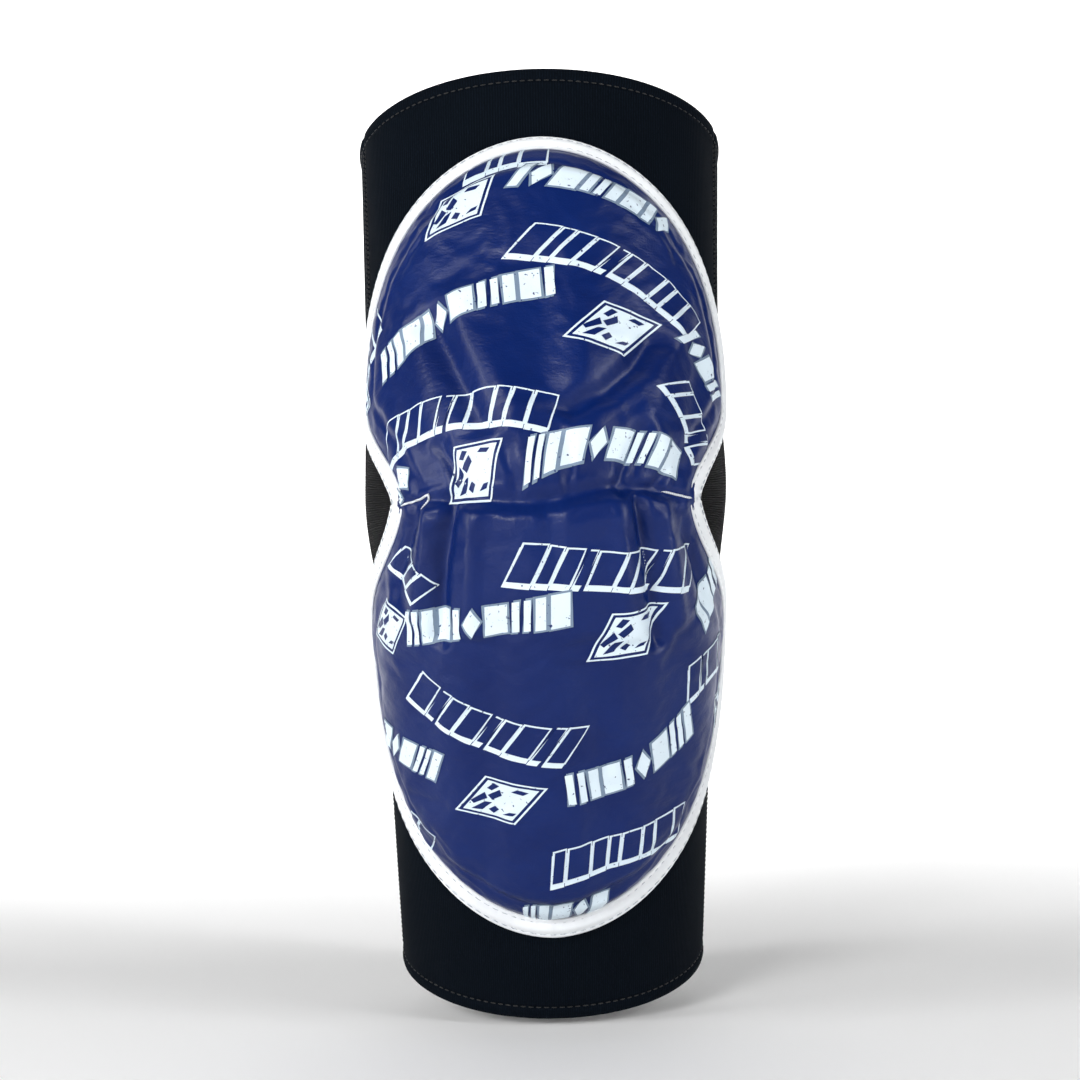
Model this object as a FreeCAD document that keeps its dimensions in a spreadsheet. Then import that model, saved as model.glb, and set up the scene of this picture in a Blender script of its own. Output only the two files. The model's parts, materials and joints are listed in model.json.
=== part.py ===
# Padded elbow guard for boxing and martial arts, at rest in the bend the sewn pad holds.
#
# A stretch sleeve slips over the arm. Its upper and lower tubes are jersey, each a front and a
# back panel, and a ribbed knit band joins them at the elbow. A padded cover of two lobes, one on
# each tube, is sewn to the front and edged with a folded binding. The pad bends at the waist
# seam between the lobes.
#
# Frame: +Z up along the arm, -Y out of the pad, +X to the right seen from the pad's side. The
# origin is the middle of the elbow opening, level with the waist seam. Units are millimetres.
# Each half is drawn upright and then tipped about the hinge line, which crosses the pad behind
# the waist seam, so the two placements hold the bend.

import FreeCAD, Part
import math
import os

doc = FreeCAD.newDocument("ElbowGuard")
Vector = FreeCAD.Vector

# ---------------------------------------------------------------- driving dimensions

SIZES = [
    # sleeve, outside of the jersey: half width along X and half depth along Y
    ("waist_half_width", 52.0),
    ("waist_half_depth", 46.0),
    ("upper_end_half_width", 57.0),
    ("upper_end_half_depth", 50.0),
    ("lower_end_half_width", 48.0),
    ("lower_end_half_depth", 42.0),
    ("upper_length", 133.0),
    ("lower_length", 165.0),
    ("jersey_thickness", 1.4),
    ("hem_height", 4.2),
    ("upper_seam_angle", 77.0),
    ("lower_seam_angle", 88.0),
    # the bend at rest, and how far the elbow opens and closes from it
    ("upper_lean", 20.0),
    ("lower_lean", 18.0),
    ("hinge_depth", 38.0),
    ("flexion", 40.0),
    # knit band: how far it reaches above and below the waist at the front, and how its edges rise
    ("band_front_reach", 12.0),
    ("band_rise_angle", 14.0),
    ("knit_thickness", 1.8),
    # pad outline, angles taken round the sleeve from the front
    ("pad_waist_angle", 57.5),
    ("upper_lobe_angle", 76.5),
    ("lower_lobe_angle", 86.5),
    ("upper_lobe_height", 108.5),
    ("lower_lobe_height", 135.5),
    ("upper_widest_height", 36.0),
    ("lower_widest_height", 50.0),
    ("outline_power", 1.86),
    # pad build-up
    ("upper_crown", 14.0),
    ("lower_crown", 15.0),
    ("side_crown", 2.4),
    ("waist_crown", 5.0),
    ("side_waist_crown", 2.0),
    ("cover_thickness", 1.1),
    ("backing_thickness", 0.8),
    ("cushion_thickness", 5.4),
    ("impact_margin", 8.5),
    ("upper_binding_width", 5.0),
    ("lower_binding_width", 6.5),
    ("binding_leather", 0.8),
    ("thread_diameter", 0.5),
    ("thread_row_inset", 1.2),
    ("tack_length_angle", 17.0),
    # clearances
    ("layer_gap", 0.2),
    ("seam_gap", 0.3),
    ("thread_gap", 0.1),
    ("tack_gap_angle", 1.0),
    ("notch_gap_angle", 1.0),
]

sheet = doc.addObject("Spreadsheet::Sheet", "Sizes")
for row, (alias, value) in enumerate(SIZES, start=1):
    sheet.set("A%d" % row, alias)
    sheet.set("B%d" % row, str(value))
    sheet.setAlias("B%d" % row, alias)
doc.recompute()


def size(alias):
    """The number that the sheet holds under this name."""
    return float(sheet.get(alias))


# Heights of the pad's layers above the sleeve, each resting on the one below with a small gap.
LEVELS = {
    "sleeve": "0",
    "jersey_inside": "-Sizes.jersey_thickness",
    "hem_inside": "-2 * Sizes.jersey_thickness",
    "binding_base": "Sizes.layer_gap",
    "binding_base_top": "Sizes.layer_gap + Sizes.binding_leather",
    "backing_base": "2 * Sizes.layer_gap + Sizes.binding_leather",
    "backing_top": "2 * Sizes.layer_gap + Sizes.binding_leather + Sizes.backing_thickness",
    "flange_base": "3 * Sizes.layer_gap + Sizes.binding_leather + Sizes.backing_thickness",
    "flange_top": "3 * Sizes.layer_gap + Sizes.binding_leather + Sizes.backing_thickness"
                  " + Sizes.cover_thickness",
    "binding_roof": "4 * Sizes.layer_gap + Sizes.binding_leather + Sizes.backing_thickness"
                    " + Sizes.cover_thickness",
    "binding_top": "4 * Sizes.layer_gap + 2 * Sizes.binding_leather + Sizes.backing_thickness"
                   " + Sizes.cover_thickness",
    "thread_base": "Sizes.thread_gap",
    "thread_top": "Sizes.thread_gap + Sizes.thread_diameter",
}


class Half:
    """One half of the guard: +1 is the upper half, above the waist, and -1 the lower."""

    def __init__(self, name, sign):
        self.name = name
        self.sign = sign

    def alias(self, stem):
        return "Sizes.%s_%s" % (self.name, stem)

    def size(self, stem):
        return size("%s_%s" % (self.name, stem))


UPPER = Half("upper", 1)
LOWER = Half("lower", -1)


# ---------------------------------------------------------------- building blocks

def loft(name, half, stations):
    """A tube form through ellipses: each station's height, half width, half depth and shift."""
    rings = []
    for number, (height, width, depth, forward) in enumerate(stations):
        ring = doc.addObject("Part::Ellipse", "%s_ring%d" % (name, number))
        ring.setExpression("MajorRadius", width)
        ring.setExpression("MinorRadius", depth)
        ring.setExpression("Placement.Base.y", "-(%s)" % forward)
        ring.setExpression("Placement.Base.z", "%d * (%s)" % (half.sign, height))
        rings.append(ring)
    form = doc.addObject("Part::Loft", name)
    form.Sections = rings
    form.Solid = True
    return form


def sleeve_form(name, half, offset):
    """The half's tube from just past the waist to its end, grown outwards by an offset."""
    end_width = "%s + %s" % (half.alias("end_half_width"), offset)
    end_depth = "%s + %s" % (half.alias("end_half_depth"), offset)
    stations = [
        ("0", "Sizes.waist_half_width + " + offset, "Sizes.waist_half_depth + " + offset, "0"),
        (half.alias("length"), end_width, end_depth, "0"),
    ]
    return loft(name, half, stations)


# Along a lobe: share of the lobe's height, share of the full crown at the front and at the sides.
# The waist, the steep rise beside it, the full middle, and the fall to just past the tip.
CROWN_SHARES = [(0.0, 0.0, 0.0), (0.12, 0.62, 0.5), (0.3, 0.97, 0.9), (0.6, 1.0, 1.0),
                (0.85, 0.82, 0.8), (1.05, 0.45, 0.3)]


def crown_form(name, half, offset, front_crown, side_crown):
    """The pad's crowned surface: low at the waist seam, full in the lobe, falling to its end."""
    length = half.alias("length")
    stations = []
    for along, front_share, side_share in CROWN_SHARES:
        height = "%g * %s" % (along, half.alias("lobe_height"))
        width = "Sizes.waist_half_width + (%s - Sizes.waist_half_width) * %s / %s" % (
            half.alias("end_half_width"), height, length)
        depth = "Sizes.waist_half_depth + (%s - Sizes.waist_half_depth) * %s / %s" % (
            half.alias("end_half_depth"), height, length)
        side = "Sizes.side_waist_crown + %g * (%s - Sizes.side_waist_crown)" % (side_share, side_crown)
        front = "Sizes.waist_crown + %g * (%s - Sizes.waist_crown)" % (front_share, front_crown)
        stations.append((height, "%s + %s + %s" % (width, side, offset),
                         "%s + %s + %s" % (depth, side, offset), "%s - (%s)" % (front, side)))
    return loft(name, half, stations)


def cut(name, base, tool):
    piece = doc.addObject("Part::Cut", name)
    piece.Base = base
    piece.Tool = tool
    return piece


def common(name, *shapes):
    piece = doc.addObject("Part::MultiCommon", name)
    piece.Shapes = list(shapes)
    return piece


def fuse(name, *shapes):
    piece = doc.addObject("Part::MultiFuse", name)
    piece.Shapes = list(shapes)
    return piece


def solid(name, shape):
    """A cutting form whose shape no primitive gives, worked out from the sheet's sizes."""
    piece = doc.addObject("Part::Feature", name)
    piece.Shape = shape
    return piece


REACH = 140.0     # half size of the cutting forms, well past the guard on every side
LAST_TURN = 88.0  # how near an outline runs to its tip, as degrees of a quarter turn
TURNS = 9         # sections from the lobe's widest place to its tip
FLANKS = 4        # sections from the waist to the lobe's widest place


def outline_stations(half, inset):
    """Heights and half angles of the lobe's outline, moved inwards by an inset."""
    mean_radius = (size("waist_half_width") + size("waist_half_depth")) / 2
    inset_angle = math.degrees(inset / mean_radius)
    waist = size("pad_waist_angle") - inset_angle
    widest = half.size("lobe_angle") - inset_angle
    low = half.size("widest_height")
    top = half.size("lobe_height") - inset
    stations = [(-low / FLANKS, waist)]  # the form runs on past the waist, where it is trimmed
    for step in range(FLANKS):
        share = step / FLANKS
        rise = share * share * (3 - 2 * share)
        stations.append((share * low, waist + (widest - waist) * rise))
    for step in range(TURNS):
        turn = math.radians(LAST_TURN * step / (TURNS - 1))
        power = 2 / size("outline_power")
        stations.append((low + (top - low) * math.sin(turn) ** power,
                         widest * math.cos(turn) ** power))
    return stations


def outline_form(name, half, inset):
    """A fan-shaped block that cuts a layer to the lobe's outline, square to the sleeve."""
    wires = []
    for height, angle in outline_stations(half, inset):
        side = math.radians(angle)
        centre = Vector(0, 0, half.sign * height)
        left = centre + Vector(-math.sin(side), -math.cos(side), 0) * REACH
        right = centre + Vector(math.sin(side), -math.cos(side), 0) * REACH
        front = centre + Vector(0, -REACH, 0)
        wires.append(Part.Wire([Part.makeLine(centre, left),
                                Part.Arc(left, front, right).toShape(),
                                Part.makeLine(right, centre)]))
    return solid(name, Part.makeLoft(wires, True, True))


def prism(name, points):
    """A block as wide as the cutting forms, from an outline in the YZ plane."""
    corners = [Vector(-REACH, y, z) for y, z in points]
    face = Part.Face(Part.makePolygon(corners + corners[:1]))
    return solid(name, face.extrude(Vector(2 * REACH, 0, 0)))


def slab(name, half, bottom, top):
    """A level block between two heights."""
    return prism(name, [(-REACH, half.sign * bottom), (REACH, half.sign * bottom),
                        (REACH, half.sign * top), (-REACH, half.sign * top)])


def sector(half, middle, spread, bottom, top):
    """A fan-shaped block about an angle round the sleeve, between two heights."""
    angles = [math.radians(middle + share * spread) for share in (-1, 0, 1)]
    rim = [Vector(math.sin(a), -math.cos(a), 0) * REACH for a in angles]
    centre = Vector(0, 0, 0)
    wire = Part.Wire([Part.makeLine(centre, rim[0]), Part.Arc(*rim).toShape(),
                      Part.makeLine(rim[2], centre)])
    block = Part.Face(wire).extrude(Vector(0, 0, half.sign * (top - bottom)))
    block.translate(Vector(0, 0, half.sign * bottom))
    return block


def sector_pair(half, middle, spread, bottom, top):
    """The same block on the left and on the right."""
    return Part.makeCompound([sector(half, side * middle, spread, bottom, top) for side in (-1, 1)])


def band_slope(half):
    """The slope of the knit band's edge in the half's own upright frame."""
    return math.tan(math.radians(half.size("lean") + size("band_rise_angle")))


def band_edge_height(half, y, clearance):
    """Height of the knit band's edge at a depth, moved along the tube by a clearance."""
    return size("band_front_reach") + clearance + (y + size("waist_half_depth")) * band_slope(half)


def leaning(half):
    """The placement that tips a half back about the hinge line."""
    hinge = Vector(0, -size("hinge_depth"), 0)
    turn = FreeCAD.Rotation(Vector(1, 0, 0), -half.sign * half.size("lean"))
    return FreeCAD.Placement(Vector(0, 0, 0), turn, hinge)


PIECES = []


def hand_in(piece, label, half=None):
    """Name a finished sub-part and give it its place."""
    piece.Label = label
    if half:
        piece.Placement = leaning(half)
    PIECES.append(piece)


# ---------------------------------------------------------------- the two halves

def make_trims(half):
    """The blocks that end the jersey at the knit band and the pad at the waist."""
    far = half.sign * (half.size("length") + REACH)
    jersey = prism(half.name + "_jersey_trim", [
        (-REACH, half.sign * band_edge_height(half, -REACH, size("seam_gap"))),
        (REACH, half.sign * band_edge_height(half, REACH, size("seam_gap"))),
        (REACH, far),
        (-REACH, far),
    ])
    # behind the hinge the pad is notched, so that its wings clear each other as the elbow closes
    notch_angle = half.size("lean") + size("flexion") / 2 + size("notch_gap_angle")
    notch = math.tan(math.radians(notch_angle))
    hinge = -size("hinge_depth")
    pad = prism(half.name + "_pad_trim", [
        (-REACH, half.sign * size("seam_gap")),
        (hinge, half.sign * size("seam_gap")),
        (REACH, half.sign * (size("seam_gap") + (REACH - hinge) * notch)),
        (REACH, far),
        (-REACH, far),
    ])
    return jersey, pad


def make_sleeve(half, forms, trim):
    """Front and back jersey panels, each with its folded hem, and their threads."""
    name = half.name
    hem_start = half.size("length") - size("hem_height")
    below_hem = slab(name + "_below_hem", half, -REACH, hem_start)
    single = common(name + "_single_layer_hollow", forms["jersey_inside"], below_hem)
    tube = cut(name + "_tube", cut(name + "_single_layer", forms["sleeve"], single),
               forms["hem_inside"])
    shell = common(name + "_trimmed_tube", tube, trim)
    seam = half.size("seam_angle")
    for side, middle, spread in (("front", 0, seam), ("back", 180, 180 - seam)):
        block = solid("%s_%s_block" % (name, side), sector(half, middle, spread, 0, REACH + hem_start))
        hand_in(common("%s_%s_cut" % (name, side), shell, block), "%s_%s_panel" % (name, side), half)

    over = cut(name + "_thread_shell", forms["thread_top"], forms["thread_base"])
    half_thread = size("thread_diameter") / 2
    hem_ring = slab(name + "_hem_ring", half, hem_start - half_thread, hem_start + half_thread)
    hand_in(common(name + "_hem_stitch", over, hem_ring), name + "_hem_thread", half)
    spread = math.degrees(half_thread / size("waist_half_width"))
    seam_end = hem_start - half_thread - size("seam_gap")
    run = solid(name + "_seam_run", sector_pair(half, seam, spread, 0, seam_end))
    hand_in(common(name + "_seam_stitch", over, run, trim), name + "_side_seam_threads", half)


def make_pad(half, forms, trim):
    """Backing, foams, cover, binding and binding threads of one lobe."""
    name = half.name
    width = half.size("binding_width")
    layer = size("layer_gap")
    leather = size("binding_leather")
    skin = size("cover_thickness")
    crown = half.alias("crown")
    edge = outline_form(name + "_edge", half, 0)
    tucked = outline_form(name + "_tucked", half, leather + layer)
    inner = outline_form(name + "_inner", half, width)
    raised = outline_form(name + "_raised", half, width + layer)
    raised_inside = outline_form(name + "_raised_inside", half, width + layer + skin)
    cushion_edge = outline_form(name + "_cushion_edge", half, width + 2 * layer + skin)
    impact_edge = outline_form(name + "_impact_edge", half, width + size("impact_margin"))

    backing = cut(name + "_backing_shell", forms["backing_top"], forms["backing_base"])
    hand_in(common(name + "_backing_cut", backing, tucked, trim), name + "_backing", half)

    surface = crown_form(name + "_crown", half, "0", crown, "Sizes.side_crown")
    lining = crown_form(name + "_crown_inside", half, "-Sizes.cover_thickness", crown,
                        "Sizes.side_crown")
    filling = crown_form(name + "_filling", half, "-Sizes.cover_thickness - Sizes.layer_gap",
                         crown, "Sizes.side_crown")
    outside = fuse(name + "_cover_outside", common(name + "_dome", surface, raised),
                   common(name + "_flange", forms["flange_top"], tucked))
    inside = fuse(name + "_cover_inside", common(name + "_hollow", lining, raised_inside),
                  forms["flange_base"])
    hand_in(common(name + "_cover_cut", cut(name + "_cover_skin", outside, inside), trim),
            name + "_cover", half)

    base = "Sizes.cushion_thickness + 3 * Sizes.layer_gap + Sizes.binding_leather + Sizes.backing_thickness"
    cushion_top = sleeve_form(name + "_cushion_top", half, base)
    impact_base = sleeve_form(name + "_impact_base", half, base + " + Sizes.layer_gap")
    block = common(name + "_foam_block", filling, cushion_edge, trim)
    cushion = cut(name + "_cushion", common(name + "_cushion_block", block, cushion_top),
                  forms["flange_base"])
    hand_in(cushion, name + "_cushion_foam", half)
    impact = cut(name + "_impact", common(name + "_impact_block", block, impact_edge), impact_base)
    hand_in(impact, name + "_impact_foam", half)

    ring = cut(name + "_ring", common(name + "_ring_block", forms["binding_top"], edge),
               fuse(name + "_ring_hole", inner, forms["binding_base"]))
    pocket = cut(name + "_pocket", common(name + "_pocket_block", forms["binding_roof"],
                                          outline_form(name + "_pocket_edge", half, leather)),
                 forms["binding_base_top"])
    hand_in(common(name + "_binding_cut", cut(name + "_channel", ring, pocket), trim),
            name + "_binding", half)

    thread = size("thread_diameter")
    top = LEVELS["binding_top"]
    over = cut(name + "_row_shell", sleeve_form(name + "_row_top", half, top + " + Sizes.thread_gap"
                                                " + Sizes.thread_diameter"),
               sleeve_form(name + "_row_base", half, top + " + Sizes.thread_gap"))
    rows = {"outer": size("thread_row_inset"), "inner": width - size("thread_row_inset")}
    for row, inset in rows.items():
        outside_edge = outline_form("%s_%s_row_out" % (name, row), half, inset - thread / 2)
        inside_edge = outline_form("%s_%s_row_in" % (name, row), half, inset + thread / 2)
        strip = cut("%s_%s_row" % (name, row), common("%s_%s_row_block" % (name, row), over,
                                                      outside_edge, trim), inside_edge)
        hand_in(strip, "%s_binding_%s_thread" % (name, row), half)


def make_waist_threads(half):
    """The stitch row that pinches the pad at the waist, and the tacks at its two ends."""
    base = crown_form("waist_thread_base", half, "Sizes.thread_gap", half.alias("crown"),
                      "Sizes.side_crown")
    top = crown_form("waist_thread_top", half, "Sizes.thread_gap + 2 * Sizes.thread_diameter",
                     half.alias("crown"), "Sizes.side_crown")
    over = cut("waist_thread_shell", top, base)
    low = 2 * size("seam_gap")
    mean_radius = (size("waist_half_width") + size("waist_half_depth")) / 2
    binding_angle = math.degrees((half.size("binding_width") + size("layer_gap")) / mean_radius)
    tack_end = size("pad_waist_angle") - binding_angle - size("tack_gap_angle")
    tack_start = tack_end - size("tack_length_angle")
    middle = (tack_start + tack_end) / 2
    tacks = solid("waist_tack_block", sector_pair(half, middle, tack_end - middle, low,
                                                  low + 2 * size("thread_diameter")))
    hand_in(common("waist_tack_cut", over, tacks), "waist_tacks", half)
    row = solid("waist_row_block", sector(half, 0, tack_start - size("tack_gap_angle"), low,
                                          low + size("thread_diameter")))
    hand_in(common("waist_row_cut", over, row), "waist_seam_thread", half)


def band_section(half, form):
    """The edge of the knit band: the tube's outline on the sloping plane, tipped into place."""
    heights = [half.sign * band_edge_height(half, y, 0) for y in (-REACH, REACH)]
    corners = [Vector(-REACH, -REACH, heights[0]), Vector(REACH, -REACH, heights[0]),
               Vector(REACH, REACH, heights[1]), Vector(-REACH, REACH, heights[1])]
    plane = Part.Face(Part.makePolygon(corners + corners[:1]))
    section = plane.common(form.Shape).Faces[0].OuterWire
    section.Placement = leaning(half).multiply(section.Placement)
    return section


def make_knit_band():
    """The ribbed band round the elbow, from the lower tube's edge to the upper tube's."""
    walls = []
    for offset in ("0", "-Sizes.knit_thickness"):
        wires = []
        for half in (LOWER, UPPER):
            form = sleeve_form("%s_band_form%d" % (half.name, len(walls)), half, offset)
            doc.recompute()
            wires.append(band_section(half, form))
        walls.append(Part.makeLoft(wires, True, True))
    hand_in(solid("knit_band", walls[0].cut(walls[1])), "elbow_knit_band")


for half in (UPPER, LOWER):
    forms = {level: sleeve_form("%s_%s" % (half.name, level), half, offset)
             for level, offset in LEVELS.items()}
    jersey_trim, pad_trim = make_trims(half)
    make_sleeve(half, forms, jersey_trim)
    make_pad(half, forms, pad_trim)
make_waist_threads(UPPER)
make_knit_band()

# ---------------------------------------------------------------- checks and files

doc.recompute()
for item in doc.Objects:
    if "Invalid" in item.State or "Error" in item.State:
        raise RuntimeError("%s did not build" % item.Name)
os.makedirs("parts", exist_ok=True)
for piece in PIECES:
    if piece.Shape.isNull() or not piece.Shape.isValid() or not piece.Shape.Solids:
        raise RuntimeError("%s has no sound shape" % piece.Label)
    print("%-30s %d solids %10.1f mm3" % (piece.Label, len(piece.Shape.Solids), piece.Shape.Volume))
    piece.Shape.exportStep("parts/%s.step" % piece.Label)
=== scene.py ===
"""Looks of a padded elbow guard, built round its packed frame: a jersey and rib-knit sleeve with
a two-lobed padded leather front, edge binding, stitching and screen-printed marks.

It is laid out as an add-on and run as a script. Everything is in metres, in the frame's own axes:
+Z up along the arm, -Y out through the pad, +X to the right seen from the pad's side.

A point on the guard is given by three numbers: how far along the arm from the waist seam (plus
is the upper half), the angle round the sleeve from the front, and the height above the sleeve.
"""

import json
import math

import bmesh
import bpy
import numpy as np
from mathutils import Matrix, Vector
from mathutils.bvhtree import BVHTree


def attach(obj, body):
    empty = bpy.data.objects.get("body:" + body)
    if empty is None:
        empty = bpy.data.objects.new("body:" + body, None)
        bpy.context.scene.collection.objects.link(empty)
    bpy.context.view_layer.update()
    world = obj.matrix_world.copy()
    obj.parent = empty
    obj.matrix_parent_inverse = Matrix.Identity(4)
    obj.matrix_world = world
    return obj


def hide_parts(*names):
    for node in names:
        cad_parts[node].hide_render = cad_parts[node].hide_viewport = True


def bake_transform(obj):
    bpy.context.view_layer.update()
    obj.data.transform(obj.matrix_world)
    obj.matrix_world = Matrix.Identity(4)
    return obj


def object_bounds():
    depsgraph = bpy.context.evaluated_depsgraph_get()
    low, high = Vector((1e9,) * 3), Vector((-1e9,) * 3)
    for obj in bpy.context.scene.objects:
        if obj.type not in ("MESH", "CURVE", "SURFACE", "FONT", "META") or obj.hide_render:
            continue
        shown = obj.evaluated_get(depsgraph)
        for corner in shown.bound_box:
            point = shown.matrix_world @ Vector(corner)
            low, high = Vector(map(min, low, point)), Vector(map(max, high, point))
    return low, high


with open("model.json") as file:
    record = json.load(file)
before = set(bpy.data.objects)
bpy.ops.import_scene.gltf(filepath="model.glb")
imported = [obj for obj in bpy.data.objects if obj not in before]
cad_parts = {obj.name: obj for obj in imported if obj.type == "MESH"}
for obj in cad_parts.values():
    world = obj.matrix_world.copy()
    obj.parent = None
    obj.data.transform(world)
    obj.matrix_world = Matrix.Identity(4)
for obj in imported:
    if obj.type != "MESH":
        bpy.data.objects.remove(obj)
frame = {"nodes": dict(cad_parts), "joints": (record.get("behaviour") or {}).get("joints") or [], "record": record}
CAD_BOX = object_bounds()

bl_info = {
    "name": "Padded elbow guard",
    "version": (1, 0, 0),
    "blender": (4, 5, 0),
    "location": "View3D > Sidebar > Elbow Guard",
    "description": "Builds the sleeve, pad, stitching and finishes of a padded elbow guard",
    "category": "Object",
}

MM = 0.001
HINGE = frame["joints"][0]["pos_m"]
MOUNTS = {mount["name"]: mount for mount in frame["record"]["mounts"]}
ENDS = {"upper": MOUNTS["upper_arm_opening"], "lower": MOUNTS["forearm_opening"]}
SIGNS = {"upper": 1, "lower": -1}


def lean_of(half):
    """How far a half is tipped back from upright, in radians, as its opening's axis says."""
    axis = ENDS[half]["axis"]
    return math.atan2(axis[1], abs(axis[2]))


def length_of(half):
    """From the hinge to the opening, measured along the half."""
    reach = ENDS[half]["pos_m"][1] - HINGE[1]
    rise = abs(ENDS[half]["pos_m"][2])
    return reach * math.sin(lean_of(half)) + rise * math.cos(lean_of(half))


LEAN = {half: lean_of(half) for half in SIGNS}
LENGTH = {half: length_of(half) for half in SIGNS}


# ---------------------------------------------------------------- sizes and colours

def millimetres(name, description, default):
    return bpy.props.FloatProperty(name=name, description=description, default=default * MM,
                                   unit="LENGTH", precision=5)


def degrees(name, description, default):
    return bpy.props.FloatProperty(name=name, description=description,
                                   default=math.radians(default), unit="ROTATION")


def hex_colour(code):
    """An sRGB hex value as linear red, green and blue."""
    parts = [int(code[i:i + 2], 16) / 255 for i in (1, 3, 5)]
    return tuple(p / 12.92 if p <= 0.04045 else ((p + 0.055) / 1.055) ** 2.4 for p in parts)


def colour(name, description, code):
    return bpy.props.FloatVectorProperty(name=name, description=description, subtype="COLOR",
                                         size=3, min=0, max=1, default=hex_colour(code))


class SleeveSizes(bpy.types.PropertyGroup):
    """Sizes of the stretch sleeve."""
    waist_width: millimetres("Waist half width", "Half the sleeve's width at the elbow", 52)
    waist_depth: millimetres("Waist half depth", "Half the sleeve's depth at the elbow", 46)
    upper_width: millimetres("Upper half width", "Half the width of the upper opening", 57)
    upper_depth: millimetres("Upper half depth", "Half the depth of the upper opening", 50)
    lower_width: millimetres("Lower half width", "Half the width of the lower opening", 48)
    lower_depth: millimetres("Lower half depth", "Half the depth of the lower opening", 42)
    jersey: millimetres("Jersey thickness", "Thickness of one layer of jersey", 1.4)
    hem: millimetres("Hem height", "From the rim to the hem's stitch row", 4.2)
    upper_seam: degrees("Upper side seam", "Angle of the upper side seams from the front", 77)
    lower_seam: degrees("Lower side seam", "Angle of the lower side seams from the front", 88)
    band_reach: millimetres("Band reach", "Half height of the knit band at the front", 12)
    band_rise: degrees("Band rise", "How steeply the knit band widens to the back", 14)
    rib_pitch: millimetres("Rib pitch", "Spacing of the knit's ribs", 1.25)
    rib_height: millimetres("Rib height", "How far each knit rib stands up", 0.32)


class PadSizes(bpy.types.PropertyGroup):
    """Sizes of the padded front."""
    waist_angle: degrees("Waist angle", "Half angle of the pad at the waist", 57.5)
    upper_angle: degrees("Upper lobe angle", "Half angle of the upper lobe at its widest", 76.5)
    lower_angle: degrees("Lower lobe angle", "Half angle of the lower lobe at its widest", 86.5)
    upper_height: millimetres("Upper lobe height", "From the waist seam to the tip", 108.5)
    lower_height: millimetres("Lower lobe height", "From the waist seam to the tip", 135.5)
    upper_widest: millimetres("Upper widest place", "Height of the upper lobe's widest place", 36)
    lower_widest: millimetres("Lower widest place", "Height of the lower lobe's widest place", 50)
    roundness: bpy.props.FloatProperty(name="Roundness", default=1.86, min=1, max=4,
                                       description="Power of the lobes' outline: 2 is an ellipse")
    upper_crown: millimetres("Upper crown", "Thickness of the upper lobe at its middle", 13.2)
    lower_crown: millimetres("Lower crown", "Thickness of the lower lobe at its middle", 14.2)
    side_crown: millimetres("Side crown", "Thickness towards the sides", 2.6)
    waist_crown: millimetres("Waist crown", "Thickness at the waist seam", 5.0)
    upper_tape: millimetres("Binding at the top", "Visible width at the upper tip", 4.5)
    waist_tape: millimetres("Binding at the waist", "Visible width at the waist", 5.2)
    lower_tape: millimetres("Binding at the bottom", "Visible width at the lower tip", 6.9)
    shoulder: millimetres("Shoulder", "How quickly the pad rises from the binding", 4.6)


class StitchSizes(bpy.types.PropertyGroup):
    """Sizes of the sewing."""
    pitch: millimetres("Stitch pitch", "From one stitch to the next", 3.0)
    length: millimetres("Stitch length", "Length of thread that shows in one stitch", 2.1)
    radius: millimetres("Thread radius", "Half the thread's thickness", 0.20)


class GuardColours(bpy.types.PropertyGroup):
    """Colours of the materials."""
    navy: colour("Navy", "Leather of the pad", "#001A56")
    navy_light: colour("Light navy", "Leather where it is stretched", "#04205E")
    binding: colour("Binding", "White leather of the edge", "#EEF1F4")
    jersey: colour("Jersey", "Sleeve panels", "#050A11")
    # The jersey's rib crests get the lighter colour and its rib hollows the darker one, as painted highlight and
    # painted shade, over a tone that also varies at random.
    jersey_light: colour("Jersey rib", "Crests of the jersey's fine ribs", "#0F1822")
    knit: colour("Knit", "Rib knit of the elbow", "#050506")
    # The knit's rib crests get the lighter colour and its grooves the darker one: painted highlight and painted
    # shade.
    knit_light: colour("Knit rib", "Crests of the knit's ribs", "#1D1D1F")
    thread: colour("Thread", "Grey sewing thread", "#BCC2CA")
    dark_thread: colour("Dark thread", "Black sewing thread", "#050608")
    tack: colour("Tack thread", "White thread of the tacks", "#E6EBF2")
    ink: colour("Ink", "Pale screen-printed ink", "#D9E8F2")
    outline: colour("Outline ink", "Grey ink round the solid marks", "#74879D")


def sizes(group):
    return getattr(bpy.context.scene, "guard_" + group)


# ---------------------------------------------------------------- the guard's own coordinates

def smoothstep(x):
    x = np.clip(x, 0, 1)
    return x * x * (3 - 2 * x)


BEND = 9 * MM  # the pad turns from one half's lean to the other's within this of the waist seam


def tipped(along, y, bend=BEND):
    """Y and Z of an upright point, tipped with its half about the hinge."""
    share = smoothstep((along + bend) / (2 * bend))
    turn = LEAN["lower"] + (-LEAN["upper"] - LEAN["lower"]) * share
    ahead = y - HINGE[1]
    return (HINGE[1] + ahead * np.cos(turn) - along * np.sin(turn),
            ahead * np.sin(turn) + along * np.cos(turn))


def half_sizes(along):
    """Half width and half depth of the sleeve at a place along the arm."""
    sleeve = sizes("sleeve")
    up = np.clip(along / LENGTH["upper"], 0, None)
    down = np.clip(-along / LENGTH["lower"], 0, None)
    width = (sleeve.waist_width + up * (sleeve.upper_width - sleeve.waist_width)
             + down * (sleeve.lower_width - sleeve.waist_width))
    depth = (sleeve.waist_depth + up * (sleeve.upper_depth - sleeve.waist_depth)
             + down * (sleeve.lower_depth - sleeve.waist_depth))
    return width, depth


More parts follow.
